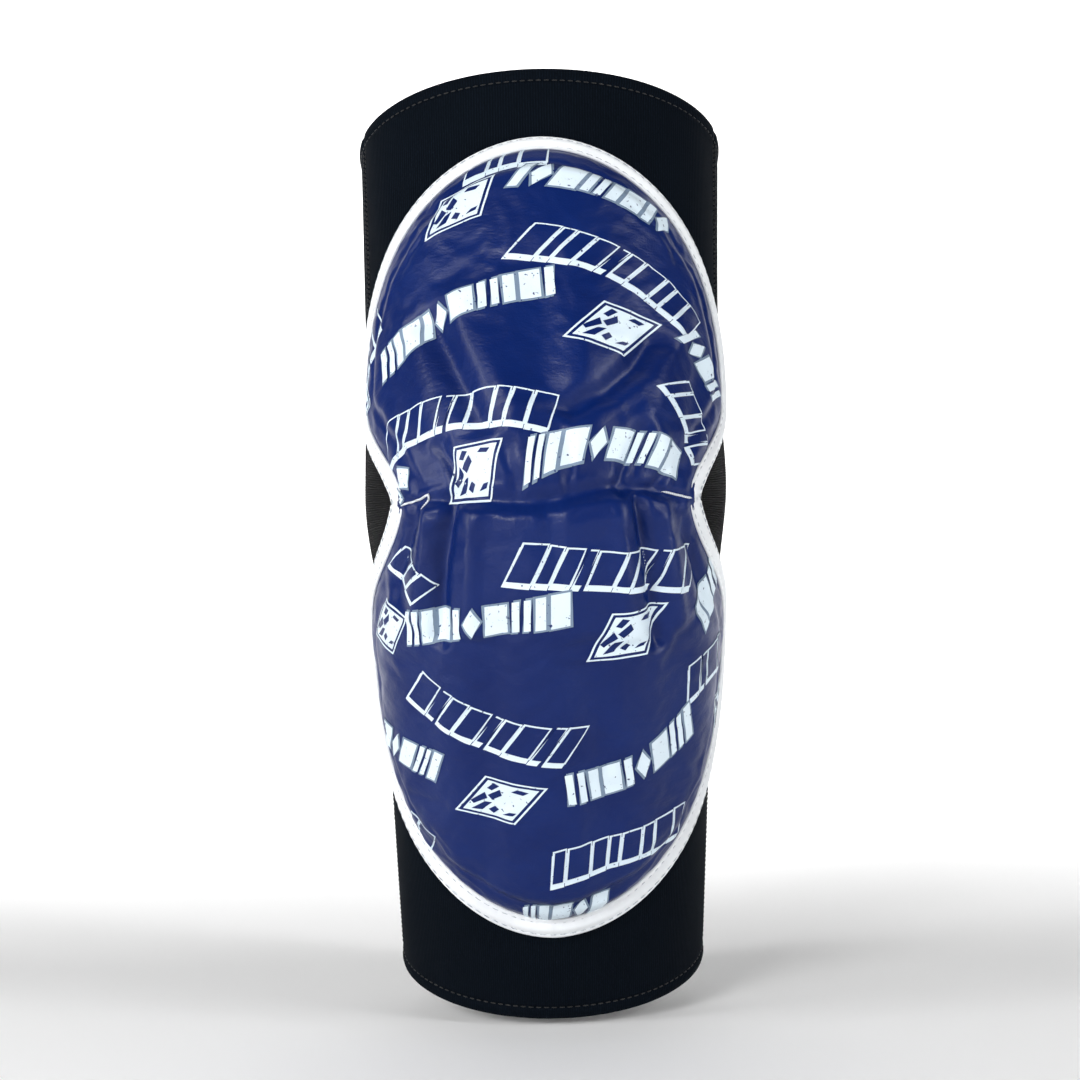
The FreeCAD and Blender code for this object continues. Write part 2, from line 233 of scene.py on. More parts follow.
def on_guard(along, angle, height, bend=BEND):
    """Points in the frame for arrays of place along the arm, angle and height."""
    along, angle, height = np.broadcast_arrays(along, angle, height)
    width, depth = half_sizes(along)
    width, depth = width + height, depth + height
    radius = width * depth / np.hypot(depth * np.sin(angle), width * np.cos(angle))
    y, z = tipped(along, -radius * np.cos(angle), bend)
    return np.stack([radius * np.sin(angle), y, z], axis=-1)


def mean_radius():
    sleeve = sizes("sleeve")
    return (sleeve.waist_width + sleeve.waist_depth) / 2


def outline_half(half, inset=0.0, steps=60):
    """One side of a lobe's edge, from the waist to the tip: places along the arm and angles."""
    pad = sizes("pad")
    waist = pad.waist_angle - inset / mean_radius()
    widest = getattr(pad, half + "_angle") - inset / mean_radius()
    low = getattr(pad, half + "_widest")
    top = getattr(pad, half + "_height") - inset
    share = np.linspace(0, 1, steps // 3, endpoint=False)
    turn = np.linspace(0, math.pi / 2, steps)
    power = 2 / pad.roundness
    along = np.concatenate([share * low, low + (top - low) * np.sin(turn) ** power])
    angle = np.concatenate([waist + (widest - waist) * smoothstep(share),
                            widest * np.clip(np.cos(turn), 0, 1) ** power])
    return SIGNS[half] * along, angle


def even_loop(points, count):
    """A closed line resampled to evenly spaced points."""
    closed = np.vstack([points, points[:1]])
    run = np.concatenate([[0], np.cumsum(np.linalg.norm(np.diff(closed, axis=0), axis=1))])
    at = np.linspace(0, run[-1], count, endpoint=False)
    return np.stack([np.interp(at, run, closed[:, i]) for i in range(closed.shape[1])], axis=1)


def pad_edge(count=720):
    """The pad's whole edge in the flat: arc from the middle and place along the arm, evenly
    spaced, and the inward direction at each point."""
    up, up_angle = outline_half("upper")
    down, down_angle = outline_half("lower")
    right = np.stack([np.concatenate([down_angle[::-1], up_angle[1:]]),
                      np.concatenate([down[::-1], up[1:]])], axis=1)
    left = right[::-1][1:-1] * (-1, 1)
    flat = np.vstack([right, left]) * (mean_radius(), 1)
    flat = even_loop(flat, count)
    for _ in range(6):  # eases the waist's pinch, as the binding does when it is pulled round
        flat = (np.roll(flat, 1, axis=0) + 2 * flat + np.roll(flat, -1, axis=0)) / 4
    tangent = np.roll(flat, -1, axis=0) - np.roll(flat, 1, axis=0)
    tangent /= np.linalg.norm(tangent, axis=1, keepdims=True)
    inward = np.stack([-tangent[:, 1], tangent[:, 0]], axis=1)
    return flat, inward


def tape_width(along):
    """Visible width of the binding at a place along the arm."""
    pad = sizes("pad")
    return np.interp(along, [-pad.lower_height, 0, pad.upper_height],
                     [pad.lower_tape, pad.waist_tape, pad.upper_tape])


def distance_to(points, line):
    """Distance from each flat point to the nearest point of a line."""
    result = np.empty(len(points))
    for start in range(0, len(points), 2000):
        block = points[start:start + 2000]
        result[start:start + 2000] = np.linalg.norm(block[:, None] - line[None], axis=2).min(1)
    return result


# Folds of the padded front in the flat, in millimetres: the line they follow, width and height.
# A minus height is a groove and a plus height a ridge.
FOLDS = [
    # the upper lobe's slack middle, between two soft shoulders that run down to the waist
    ([(-28, 50), (-23, 36), (-16, 16)], 4.2, -2.4),
    ([(-20, 54), (-15, 36), (-9, 20)], 5.5, 1.5),
    ([(27, 42), (22, 33), (15, 25), (7, 20)], 3.2, -3.0),
    ([(35, 50), (31, 36), (26, 18), (31, 10)], 5.0, 1.4),
    ([(-2, 62), (0, 34), (2, 14)], 6.5, -1.6),
    ([(10, 40), (8, 30)], 5.0, 0.8),
    ([(-40, 44), (-36, 22), (-30, 8)], 4.2, -1.2),
    ([(44, 40), (41, 22), (37, 10)], 4.2, -1.2),
    # gathers below the waist seam
    ([(-26, -2), (-27, -14), (-28, -38)], 2.3, -3.6),
    ([(-19, -4), (-19, -34)], 3.0, 1.5),
    ([(-33, -5), (-35, -34)], 2.6, 1.3),
    ([(-39, -3), (-43, -30)], 2.6, -2.0),
    ([(25, -2), (26, -16), (28, -40)], 2.0, -3.8),
    ([(19, -4), (20, -36)], 3.2, 1.4),
    ([(32, -5), (35, -36)], 2.6, 1.5),
    ([(40, -4), (46, -34)], 2.4, -2.2),
    ([(1, -2), (2, -18)], 3.0, -0.7),
    # long soft channels down the lower lobe
    ([(-12, -34), (-16, -70), (-18, -112)], 5.5, -1.5),
    ([(10, -40), (13, -80), (15, -118)], 5.5, -1.5),
    ([(-34, -50), (-34, -90)], 6.0, -1.0),
    ([(34, -48), (33, -92)], 6.0, -1.0),
    # short gathers above the waist seam
    ([(-23, 2), (-27, 13)], 2.0, -1.7),
    ([(-8, 2), (-10, 10)], 1.8, -0.8),
    ([(6, 2), (6, 9)], 1.8, -0.7),
    ([(21, 2), (24, 15)], 2.2, -2.0),
    ([(31, 2), (36, 13)], 2.0, -1.4),
]


def folds(flat):
    """Height that the folds add at flat points, in metres."""
    point = flat / MM
    total = np.zeros(len(point))
    for line, width, height in FOLDS:
        line = np.array(line, float)
        gap = np.full(len(point), np.inf)
        for start, end in zip(line, line[1:]):
            run = end - start
            share = np.clip(((point - start) @ run) / (run @ run), 0, 1)
            gap = np.minimum(gap, np.linalg.norm(point - start - share[:, None] * run, axis=1))
        total += height * np.exp(-(gap / width) ** 2)
    return total * MM


def waist_line(arc):
    """Where the waist seam lies along the arm, across the pad: it wanders as a drawn-up seam."""
    across = arc / MM
    return (0.9 * np.sin(across / 13) - 0.7 * np.cos(across / 7.5)) * MM


FLANGE = 2.9 * MM         # top of the leather where it is sewn under the binding
CROWN_BLEND = 20 * MM     # one lobe's thickness passes into the other's this near the waist
FOAM_EDGE = 7 * MM        # from the binding to where the dense foam's edge lifts the leather
FOAM_EDGE_WIDTH = 4 * MM
FOAM_EDGE_SHARE = 0.24    # of the thickness, which only the dense foam gives
CREASE = 1.5 * MM         # half width of the waist seam's crease
PINCH = 1.1 * MM          # the crease's depth
KNOT_PINCH = 0.9 * MM     # how much deeper it is where the thread is knotted
KNOT_ARC = 27 * MM        # the knot's place across the pad
KNOT_WIDTH = 8 * MM


def waist_rise(gap):
    """Share of the full height beside the waist seam: the upper lobe runs down to it gently, and
    the lower lobe stands up beside it as a roll."""
    away = np.abs(gap) / MM

    def rise(within, power):
        """0 at the seam, and nearly 1 when twice this many millimetres away."""
        return 1 - np.exp(-(away / within) ** power)

    return np.where(gap > 0, rise(9, 1.4), 0.45 * rise(2.3, 1.6) + 0.55 * rise(17, 1.6))


def pad_height(along, angle):
    """Height of the padded front above the sleeve."""
    pad = sizes("pad")
    flat = np.stack([angle.ravel() * mean_radius(), along.ravel()], axis=1)
    arc, place = flat[:, 0], flat[:, 1]
    inside = distance_to(flat, pad_edge()[0]) - tape_width(place)
    upper = smoothstep((place + CROWN_BLEND) / (2 * CROWN_BLEND))
    front = pad.lower_crown + (pad.upper_crown - pad.lower_crown) * upper
    full = pad.side_crown + (front - pad.side_crown) * np.cos(arc / mean_radius())
    gap = place - waist_line(arc)
    full = pad.waist_crown + (full - pad.waist_crown) * waist_rise(gap)
    rise = 1 - np.exp(-np.clip(inside, 0, None) / pad.shoulder)
    over_foam = smoothstep((inside - FOAM_EDGE) / FOAM_EDGE_WIDTH)
    share = (1 - FOAM_EDGE_SHARE) * rise + FOAM_EDGE_SHARE * over_foam
    height = FLANGE + (full - FLANGE) * share
    # the folds and the crease fade out before they reach the binding
    height += folds(flat) * smoothstep(inside / (8 * MM))
    pinch = PINCH + KNOT_PINCH * np.exp(-((arc - KNOT_ARC) / KNOT_WIDTH) ** 2)
    height -= pinch * np.exp(-(gap / CREASE) ** 2) * smoothstep(inside / (4 * MM))
    return np.maximum(height, FLANGE).reshape(np.shape(along))


# ---------------------------------------------------------------- meshes

def new_object(name, points, faces, material, uvs=None):
    """A smooth mesh object from arrays of points and faces, with a UV for each point."""
    mesh = bpy.data.meshes.new(name)
    mesh.from_pydata([tuple(p) for p in points], [], faces)
    if uvs is not None:
        layer = mesh.uv_layers.new(name="flat")
        corner = np.zeros(len(mesh.loops), int)
        mesh.loops.foreach_get("vertex_index", corner)
        layer.data.foreach_set("uv", np.asarray(uvs, float)[corner].ravel())
    mesh.polygons.foreach_set("use_smooth", [True] * len(mesh.polygons))
    mesh.materials.append(material)
    mesh.update()
    thing = bpy.data.objects.new(name, mesh)
    bpy.context.scene.collection.objects.link(thing)
    return thing


def grid_faces(rows, columns, wrap_rows=False, wrap_columns=False):
    """Four-sided faces of a grid of points, stored row by row."""
    faces = []
    for r in range(rows if wrap_rows else rows - 1):
        for c in range(columns if wrap_columns else columns - 1):
            low, high = r * columns, ((r + 1) % rows) * columns
            after = (c + 1) % columns
            faces.append((low + c, low + after, high + after, high + c))
    return faces


def face_outwards(thing):
    mesh = bmesh.new()
    mesh.from_mesh(thing.data)
    bmesh.ops.recalc_face_normals(mesh, faces=mesh.faces)
    mesh.to_mesh(thing.data)
    mesh.free()


def finish_modifiers(thing):
    """Makes what the object's modifiers give its own plain mesh."""
    evaluated = thing.evaluated_get(bpy.context.evaluated_depsgraph_get())
    mesh = bpy.data.meshes.new_from_object(evaluated)
    thing.modifiers.clear()
    thing.data = mesh


def subdivide(thing):
    modifier = thing.modifiers.new("Round", "SUBSURF")
    modifier.levels = modifier.render_levels = 1
    finish_modifiers(thing)


def across_waist(thing):
    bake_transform(thing)


# ---------------------------------------------------------------- materials

def fill(tree, node, links):
    """Fills a node's inputs with values or with other nodes' outputs."""
    for key, value in links.items():
        if isinstance(value, bpy.types.NodeSocket):
            tree.links.new(value, node.inputs[key])
        else:
            node.inputs[key].default_value = value


def add(tree, kind, links=None, **settings):
    """Adds a node, sets its properties and fills its inputs."""
    node = tree.nodes.new(kind)
    for key, value in settings.items():
        setattr(node, key, value)
    fill(tree, node, links or {})
    return node


def rgba(value):
    return (*value, 1.0)


def new_material(name):
    """A material with an empty tree, its surface shader and its output."""
    material = bpy.data.materials.new(name)
    material.use_nodes = True
    tree = material.node_tree
    tree.nodes.clear()
    shader = add(tree, "ShaderNodeBsdfPrincipled")
    add(tree, "ShaderNodeOutputMaterial", {"Surface": shader.outputs["BSDF"]})
    return material, tree, shader


def times(tree, vector, factor):
    return add(tree, "ShaderNodeVectorMath", {0: vector, 3: factor},
               operation="SCALE").outputs["Vector"]


def flat_coordinates(tree):
    """The piece's own flat coordinates in millimetres."""
    return times(tree, add(tree, "ShaderNodeUVMap", uv_map="flat").outputs["UV"], 1 / MM)


def object_coordinates(tree):
    """Object coordinates in millimetres."""
    return times(tree, add(tree, "ShaderNodeTexCoord").outputs["Object"], 1 / MM)


def noise(tree, vector, pitch, detail=2.0, stretch=None):
    """Noise whose features are about this many millimetres across."""
    if stretch:
        vector = add(tree, "ShaderNodeVectorMath", {0: vector, 1: stretch},
                     operation="MULTIPLY").outputs["Vector"]
    return add(tree, "ShaderNodeTexNoise", {"Vector": vector, "Scale": 1 / pitch,
                                            "Detail": detail}).outputs["Fac"]


WAVE_CRESTS = 3.18  # crests in one unit of a wave texture whose scale is 1


def wave(tree, vector, pitch, direction, distortion=0.0, detail=2.0, detail_scale=1.0):
    """Bands with a crest about every so many millimetres."""
    links = {"Vector": vector, "Scale": 1 / pitch / WAVE_CRESTS, "Distortion": distortion,
             "Detail": detail, "Detail Scale": detail_scale}
    return add(tree, "ShaderNodeTexWave", links, wave_type="BANDS",
               bands_direction=direction).outputs["Fac"]


def ramp(tree, value, low, high, at=(0.35, 0.65)):
    node = add(tree, "ShaderNodeValToRGB", {"Fac": value})
    node.color_ramp.elements[0].position, node.color_ramp.elements[1].position = at
    node.color_ramp.elements[0].color = rgba(low)
    node.color_ramp.elements[1].color = rgba(high)
    return node.outputs["Color"]


def span(tree, value, low, high):
    """A 0 to 1 value spread over another range."""
    return add(tree, "ShaderNodeMapRange", {"Value": value, "To Min": low,
                                            "To Max": high}).outputs["Result"]


def bump(tree, shader, *layers):
    """Lays bumps over one another: each is a height, its depth in millimetres and strength."""
    normal = None
    for height, depth, strength in layers:
        links = {"Height": height, "Distance": depth * MM, "Strength": strength}
        if normal:
            links["Normal"] = normal
        normal = add(tree, "ShaderNodeBump", links).outputs["Normal"]
    tree.links.new(normal, shader.inputs["Normal"])


def math_node(tree, operation, first, second=0.0):
    return add(tree, "ShaderNodeMath", {0: first, 1: second}, operation=operation).outputs[0]


def embossed_leather(name, base, light, roughness, grain_depth):
    """Polyurethane-coated leather, calendered with a fine grain and wiped to a satin gloss. The
    eye sees pebbles under a millimetre across that break the highlight, and slightly paler
    places where the coat is stretched over the foam."""
    material, tree, shader = new_material(name)
    flat = flat_coordinates(tree)
    cloud = noise(tree, flat, 26, 3)
    # pebbles 0.85 mm across with flat tops
    pebbles = add(tree, "ShaderNodeTexVoronoi", {"Vector": flat, "Scale": 1 / 0.85},
                  feature="DISTANCE_TO_EDGE", voronoi_dimensions="2D").outputs["Distance"]
    pebbles = math_node(tree, "MINIMUM", pebbles, 0.22)
    # creases that drift by up to 4 mm, and are drawn out along the arm
    drift = add(tree, "ShaderNodeTexNoise", {"Vector": flat, "Scale": 1 / 7, "Detail": 2.0})
    swirl = times(tree, drift.outputs["Color"], 4.0)
    bent = add(tree, "ShaderNodeVectorMath", {0: flat, 1: swirl}).outputs["Vector"]
    creases = noise(tree, bent, 1.1, 3, (0.55, 1.0, 1.0))
    fine = noise(tree, flat, 0.45, 3)
    rough = math_node(tree, "ADD", span(tree, noise(tree, flat, 9, 2), -0.05, 0.05),
                      span(tree, fine, roughness - 0.05, roughness + 0.05))
    fill(tree, shader, {"Base Color": ramp(tree, cloud, base, light), "Roughness": rough,
                        "Specular IOR Level": 0.26})
    bump(tree, shader, (creases, 0.14, grain_depth), (pebbles, 0.08, 0.6 * grain_depth),
         (fine, 0.02, grain_depth))
    return material


def navy_leather():
    colours = sizes("colours")
    return embossed_leather("navy polyurethane leather, calendered", colours.navy,
                            colours.navy_light, 0.37, 0.85)


def white_leather():
    """Thin white leather cut as tape and folded round the edge: nearly smooth, with the faint
    grey of handling in the hollows of its grain."""
    colours = sizes("colours")
    grey = tuple(0.90 * c for c in colours.binding)
    return embossed_leather("white polyurethane leather tape, folded", grey, colours.binding,
                            0.38, 0.30)


def jersey_cloth():
    """Nylon and elastane jersey, knitted so finely that its wales show only as hairline upright
    ribs, matt with a soft bloom at the edges. The real pitch of 0.35 mm would vanish, so the
    ribs are drawn at 0.8 mm."""
    colours = sizes("colours")
    material, tree, shader = new_material("nylon elastane jersey, knitted")
    flat = flat_coordinates(tree)
    ribs = wave(tree, flat, 0.8, "X", 0.6, 1.0, 2.0)
    lint = noise(tree, flat, 0.7, 4)
    # Painted shade: the ribs' hollows darken the colour and their crests lighten it; the lint and the broad noise
    # vary it at random.
    tone = math_node(tree, "MULTIPLY", ribs, lint)
    shade = math_node(tree, "ADD", tone, span(tree, noise(tree, flat, 30, 2), -0.15, 0.15))
    base = ramp(tree, shade, colours.jersey, colours.jersey_light, (0.25, 0.85))
    fill(tree, shader, {"Base Color": base, "Roughness": 0.82, "Specular IOR Level": 0.04,
                        "Sheen Weight": 0.005, "Sheen Roughness": 0.4,
                        "Sheen Tint": rgba(hex_colour("#8C9AAF"))})
    bump(tree, shader, (ribs, 0.12, 0.5), (lint, 0.10, 0.4))
    return material


def rib_knit():
    """Black elastic rib knit. The ribs are in the mesh, and the cloth adds the small loops
    across each rib and a little lint."""
    colours = sizes("colours")
    material, tree, shader = new_material("elastic rib knit, black")
    flat = flat_coordinates(tree)
    loops = wave(tree, flat, 0.9, "X", 1.5, 2.0, 1.5)
    up = add(tree, "ShaderNodeSeparateXYZ", {"Vector": flat}).outputs["Y"]
    turns = math_node(tree, "MULTIPLY", up, math.pi * MM / sizes("sleeve").rib_pitch)
    ribs = math_node(tree, "ABSOLUTE", math_node(tree, "SINE", turns))
    lint = noise(tree, flat, 0.6, 4)
    # Painted shade: the colour darkens in the rib grooves and between the loops, and lightens on the crests.
    tone = math_node(tree, "MULTIPLY", ribs, math_node(tree, "ADD", loops, lint))
    base = ramp(tree, tone, colours.knit, colours.knit_light, (0.15, 0.95))
    fill(tree, shader, {"Base Color": base, "Roughness": 0.9, "Specular IOR Level": 0.15,
                        "Sheen Weight": 0.04, "Sheen Tint": rgba(hex_colour("#9A9A9C"))})
    bump(tree, shader, (ribs, 0.3, 0.6), (loops, 0.15, 0.6), (lint, 0.15, 0.5))
    return material


def twisted_thread(name, shade):
    """Corespun polyester thread: the twist shows as slanting light and dark along each stitch."""
    material, tree, shader = new_material(name)
    twist = wave(tree, object_coordinates(tree), 0.5, "DIAGONAL", 1.0)
    # A darker copy of the thread's colour, painted in the twist's grooves as shade.
    dark = tuple(0.62 * c for c in shade)
    fill(tree, shader, {"Base Color": ramp(tree, twist, dark, shade, (0.1, 0.8)),
                        "Roughness": 0.6, "Sheen Weight": 0.15})
    bump(tree, shader, (twist, 0.08, 0.6))
    return material


def printed_ink(name, shade):
    """Screen-printed ink film on leather: flat and slightly chalky, with pinholes and worn
    flecks where the grain didn't take it, through which the navy shows."""
    colours = sizes("colours")
    material, tree, shader = new_material(name)
    place = object_coordinates(tree)
    flecks = noise(tree, place, 1.1, 6)
    chalk = span(tree, noise(tree, place, 0.6, 3), 0.40, 0.56)
    fill(tree, shader, {"Base Color": ramp(tree, flecks, colours.navy_light, shade, (0.30, 0.36)),
                        "Roughness": chalk, "Specular IOR Level": 0.4})
    bump(tree, shader, (noise(tree, place, 0.8, 4), 0.12, 0.35))
    return material


def closed_cell_foam(name, shade, cell):
    """Moulded closed-cell foam, matt and dry, with its skin broken by small cells."""
    material, tree, shader = new_material(name)
    place = object_coordinates(tree)
    cells = add(tree, "ShaderNodeTexVoronoi", {"Vector": place,
                                               "Scale": 1 / cell}).outputs["Distance"]
    dark = tuple(0.6 * c for c in shade)
    fill(tree, shader, {"Base Color": ramp(tree, cells, shade, dark, (0.2, 0.9)),
                        "Roughness": 0.95})
    bump(tree, shader, (cells, 0.3, 0.7))
    return material


def woven_backing():
    """Plain-woven polyester backing, black, its threads crossing over and under at 1 mm."""
    material, tree, shader = new_material("polyester backing, plain woven")
    place = object_coordinates(tree)
    weave = math_node(tree, "MULTIPLY", wave(tree, place, 1, "X"), wave(tree, place, 1, "Z"))
    # Painted highlight on the raised crossings and painted shade between the threads.
    tone = ramp(tree, weave, hex_colour("#0A0A0C"), hex_colour("#2A2A2E"), (0.1, 0.9))
    fill(tree, shader, {"Base Color": tone, "Roughness": 0.9})
    bump(tree, shader, (weave, 0.2, 0.6))
    return material


def material(maker, *args):
    """The material that a maker gives, made once."""
    key = maker.__name__ + (args[0] if args else "")
    store = material.store
    if key not in store:
        store[key] = maker(*args)
    return store[key]


material.store = {}


# ---------------------------------------------------------------- sleeve

def radius_at(along, angle):
    """Distance from the arm's axis to the sleeve."""
    width, depth = half_sizes(along)
    return width * depth / np.hypot(depth * np.sin(angle), width * np.cos(angle))


def band_edge(half, angle):
    """How far up or down the tube the knit band ends, at an angle round the sleeve."""
    sleeve = sizes("sleeve")
    slope = math.tan(LEAN[half] + sleeve.band_rise)
    place = np.full_like(angle, sleeve.band_reach)
    for _ in range(8):  # the edge is a slanting plane, so its height depends on the depth there
        ahead = radius_at(SIGNS[half] * place, angle) * np.cos(angle)
        place = sleeve.band_reach + (sleeve.waist_depth - ahead) * slope
    return place


NO_BEND = 1e-6 * MM  # for pieces that keep straight up to the waist seam
SEAM_GAP = 0.0004    # radians from a side seam to each panel's edge, so they all but meet
PANEL_GAP = 0.3 * MM  # from the knit band's edge to the panel's
HEM_START = 1.6      # hem heights from the rim to where the panel's hem begins

# The hem's section, outside, over the rim and back down inside: how far below the rim, in hem
# heights, and how far out from the sleeve in millimetres. It dips at its stitch row.
HEM_SECTION = [
    (1.25, 0.10), (1.06, 0.05), (1.0, -0.30), (0.94, 0.10), (0.7, 0.42), (0.4, 0.46),
    (0.15, 0.28), (0.03, -0.25), (0.0, -1.3), (0.03, -2.3), (0.15, -2.9), (0.6, -3.0),
    (0.98, -2.9), (1.02, -1.6),
]


def jersey_panel(half, side):
    """A front or back panel with its edge turned in and its hem folded to the inside."""
    sleeve = sizes("sleeve")
    seam = getattr(sleeve, half + "_seam")
    if side == "front":
        angle = np.linspace(-seam + SEAM_GAP, seam - SEAM_GAP, 90)
    else:
        angle = np.linspace(seam + SEAM_GAP, 2 * math.pi - seam - SEAM_GAP, 100)
    start = band_edge(half, angle) + PANEL_GAP
    hem, end = sleeve.hem, LENGTH[half]
    # the cut edge's round, then up the outside, over the rim, and back down inside the fold
    outside = [(0.0, -0.7), (0.0, -0.2)] + [(share, 0.0) for share in np.linspace(0.01, 1, 40)]
    inside = [(share, -sleeve.jersey / MM) for share in np.linspace(0.97, 0, 14)]

    def body(section):
        return [start + share * (end - HEM_START * hem - start) for share, _ in section]

    fold = [np.full_like(angle, end - below * hem) for below, _ in HEM_SECTION]
    rows = np.array(body(outside) + fold + body(inside))
    heights = np.array([height for _, height in outside + HEM_SECTION + inside]) * MM
    heights = heights[:, None] + np.zeros_like(rows)
    # the sewn sides draw in a little, and the cloth is never quite even
    to_seam = np.minimum(np.abs(angle - angle[0]), np.abs(angle - angle[-1])) * mean_radius()
    heights -= 0.35 * MM * np.exp(-(to_seam / (1.2 * MM)) ** 2)
    ripple = np.sin(angle * 9 + rows / (21 * MM)) + 0.6 * np.sin(angle * 5 - rows / (34 * MM))
    heights += 0.16 * MM * ripple * smoothstep((end - rows) / (12 * MM))
    points = on_guard(SIGNS[half] * rows, angle, heights, NO_BEND)
    count, columns = rows.shape
    faces = grid_faces(count, columns, wrap_rows=True)
    faces.append(tuple(r * columns for r in range(count)))
    faces.append(tuple((r + 1) * columns - 1 for r in reversed(range(count))))
    uvs = np.stack([np.broadcast_to(angle * mean_radius(), rows.shape), rows], axis=-1)
    panel = new_object("%s_%s_jersey" % (half, side), points.reshape(-1, 3), faces,
                       material(jersey_cloth), uvs.reshape(-1, 2))
    face_outwards(panel)
    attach(panel, half)
    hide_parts("%s_%s_panel" % (half, side))
    arc = (angle[-1] - angle[0]) * mean_radius()


KNIT_TUCK = 4.5 * MM   # how far the band runs on under the jersey
KNIT_THICKNESS = 1.5 * MM
RIB_POINTS = 5         # rows of points in one rib
KNIT_INSIDE = 12       # outside rows for each row of points on the band's inside


def knit_band():
    """The rib knit round the elbow: ribs run round the arm, its sides bow out a little, and its
    edges tuck under the jersey."""
    sleeve = sizes("sleeve")
    columns = 200
    angle = np.linspace(0, 2 * math.pi, columns, endpoint=False)
    edges = {}
    for half, sign in SIGNS.items():
        reach = band_edge(half, angle)
        for part, beyond, below in (("", 0.0, 0.1 * MM),
                                    ("_tuck", KNIT_TUCK, sleeve.jersey + 0.25 * MM),
                                    ("_under", 0.8 * MM, sleeve.jersey + 0.2 * MM)):
            edges[half + part] = on_guard(sign * (reach + beyond), angle, -below, NO_BEND)
    outwards = (edges["upper"] + edges["lower"]) * (0.5, 0.5, 0)
    outwards /= np.linalg.norm(outwards, axis=1, keepdims=True)
    span_back = np.linalg.norm(edges["upper"] - edges["lower"], axis=1)
    count = int(span_back.max() / sleeve.rib_pitch)
    sides = np.abs(np.sin(angle)) ** 3
    rows = [edges["upper_tuck"], edges["upper_under"]]
    flat_rows = [-0.05, -0.01]
    # the band is drawn in a little near both sides, where its ends are sewn
    drawn = 0.5 * MM * np.exp(-((np.abs(np.sin(angle)) - 0.985) / 0.004) ** 2)
    for step in range(count * RIB_POINTS + 1):
        share = step / (count * RIB_POINTS)
        line = edges["upper"] * (1 - share) + edges["lower"] * share
        rib = abs(math.sin(math.pi * step / RIB_POINTS)) * sleeve.rib_height
        ripple = 0.25 * MM * np.sin(angle * 11 + share * 9) * math.sin(math.pi * share)
        bow = math.sin(math.pi * share) ** 0.8 * (0.9 * MM + 1.6 * MM * sides)
        rows.append(line + outwards * (rib + bow + ripple - drawn)[:, None])
        flat_rows.append(share)
    rows += [edges["lower_under"], edges["lower_tuck"]]
    flat_rows += [1.01, 1.05]
    inside = [r - outwards * KNIT_THICKNESS for r in rows[::KNIT_INSIDE][::-1]]
    flat_inside = flat_rows[::KNIT_INSIDE][::-1]
    points = np.array(rows + inside)
    total = len(points)
    faces = grid_faces(total, columns, wrap_rows=True, wrap_columns=True)
    along = np.array(flat_rows + flat_inside)[:, None] * span_back.max()
    uvs = np.stack([np.broadcast_to(angle * mean_radius(), (total, columns)),
                    np.broadcast_to(along, (total, columns))], axis=-1)
    band = new_object("elbow_rib_knit", points.reshape(-1, 3), faces, material(rib_knit),
                      uvs.reshape(-1, 2))
    face_outwards(band)
    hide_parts("elbow_knit_band")
    across_waist(band)


# ---------------------------------------------------------------- pad

COVER_INSET = 3 * MM    # the leather ends this far in from the pad's edge, under the binding
COVER_COLUMNS = 81
COVER_SWELL = 1.1 * MM  # how far it swells as it is blown up, so it starts this much lower
COVER_THICKNESS = 0.9 * MM
SEAM_HOLD = 0.9         # how firmly the waist seam holds it, where 1 is sewn fast
FOAM_HOLD = 0.25        # how firmly the foam's own stiffness holds it
ROW_STEP = 1.9 * MM     # between the leather's rows of points, and finer near the waist seam


def cover_rows():
    """Places along the arm and half angles of the leather's edge, tip to tip."""
    outline = [outline_half(half, COVER_INSET, 240) for half in ("lower", "upper")]
    along = np.concatenate([outline[0][0][::-1], outline[1][0][1:]])
    angle = np.concatenate([outline[0][1][::-1], outline[1][1][1:]])
    # each row is a step on from the last, along the arm or round the tip, whichever is longer
    pace = 1 + 2.2 * np.exp(-(along / (5 * MM)) ** 2)
    move = np.hypot(np.diff(along) * (pace[1:] + pace[:-1]) / 2,
                    0.5 * mean_radius() * np.diff(angle))
    run = np.concatenate([[0], np.cumsum(move)])
    at = np.linspace(0, run[-1], int(run[-1] / ROW_STEP))[1:-1]
    return np.interp(at, run, along), np.interp(at, run, angle)


CAP = 6 * MM  # how far the simulated leather may move
CLOTH_FRAMES = 20


def inflate(thing, pinned):
    """Blows the leather up over its foam as cloth sewn down round the edge and at the waist."""
    group = thing.vertex_groups.new(name="sewn")
    for index, weight in pinned.items():
        group.add([int(index)], weight, "REPLACE")
    start = np.array([v.co for v in thing.data.vertices])
    cloth = thing.modifiers.new("Leather", "CLOTH")
    cloth.settings.quality = 6
    cloth.settings.mass = 0.4
    cloth.settings.tension_stiffness = 25
    cloth.settings.compression_stiffness = 25
    cloth.settings.shear_stiffness = 12
    cloth.settings.bending_stiffness = 1.2
    cloth.settings.shrink_min = -0.018  # the leather is cut a little large, so that it gathers
    cloth.settings.use_pressure = True
    cloth.settings.uniform_pressure_force = 4
    cloth.settings.vertex_group_mass = "sewn"
    cloth.settings.effector_weights.gravity = 0
    cloth.collision_settings.use_collision = False
    cloth.point_cache.frame_start, cloth.point_cache.frame_end = 1, CLOTH_FRAMES
    for number in range(1, CLOTH_FRAMES + 1):
        bpy.context.scene.frame_set(number)
    finish_modifiers(thing)
    end = np.array([v.co for v in thing.data.vertices])
    move = end - start
    size = np.linalg.norm(move, axis=1, keepdims=True)
    end = start + move * np.minimum(1, CAP / np.maximum(size, 1e-9))
    thing.data.vertices.foreach_set("co", end.ravel())
    thing.data.update()
    bpy.context.scene.frame_set(1)


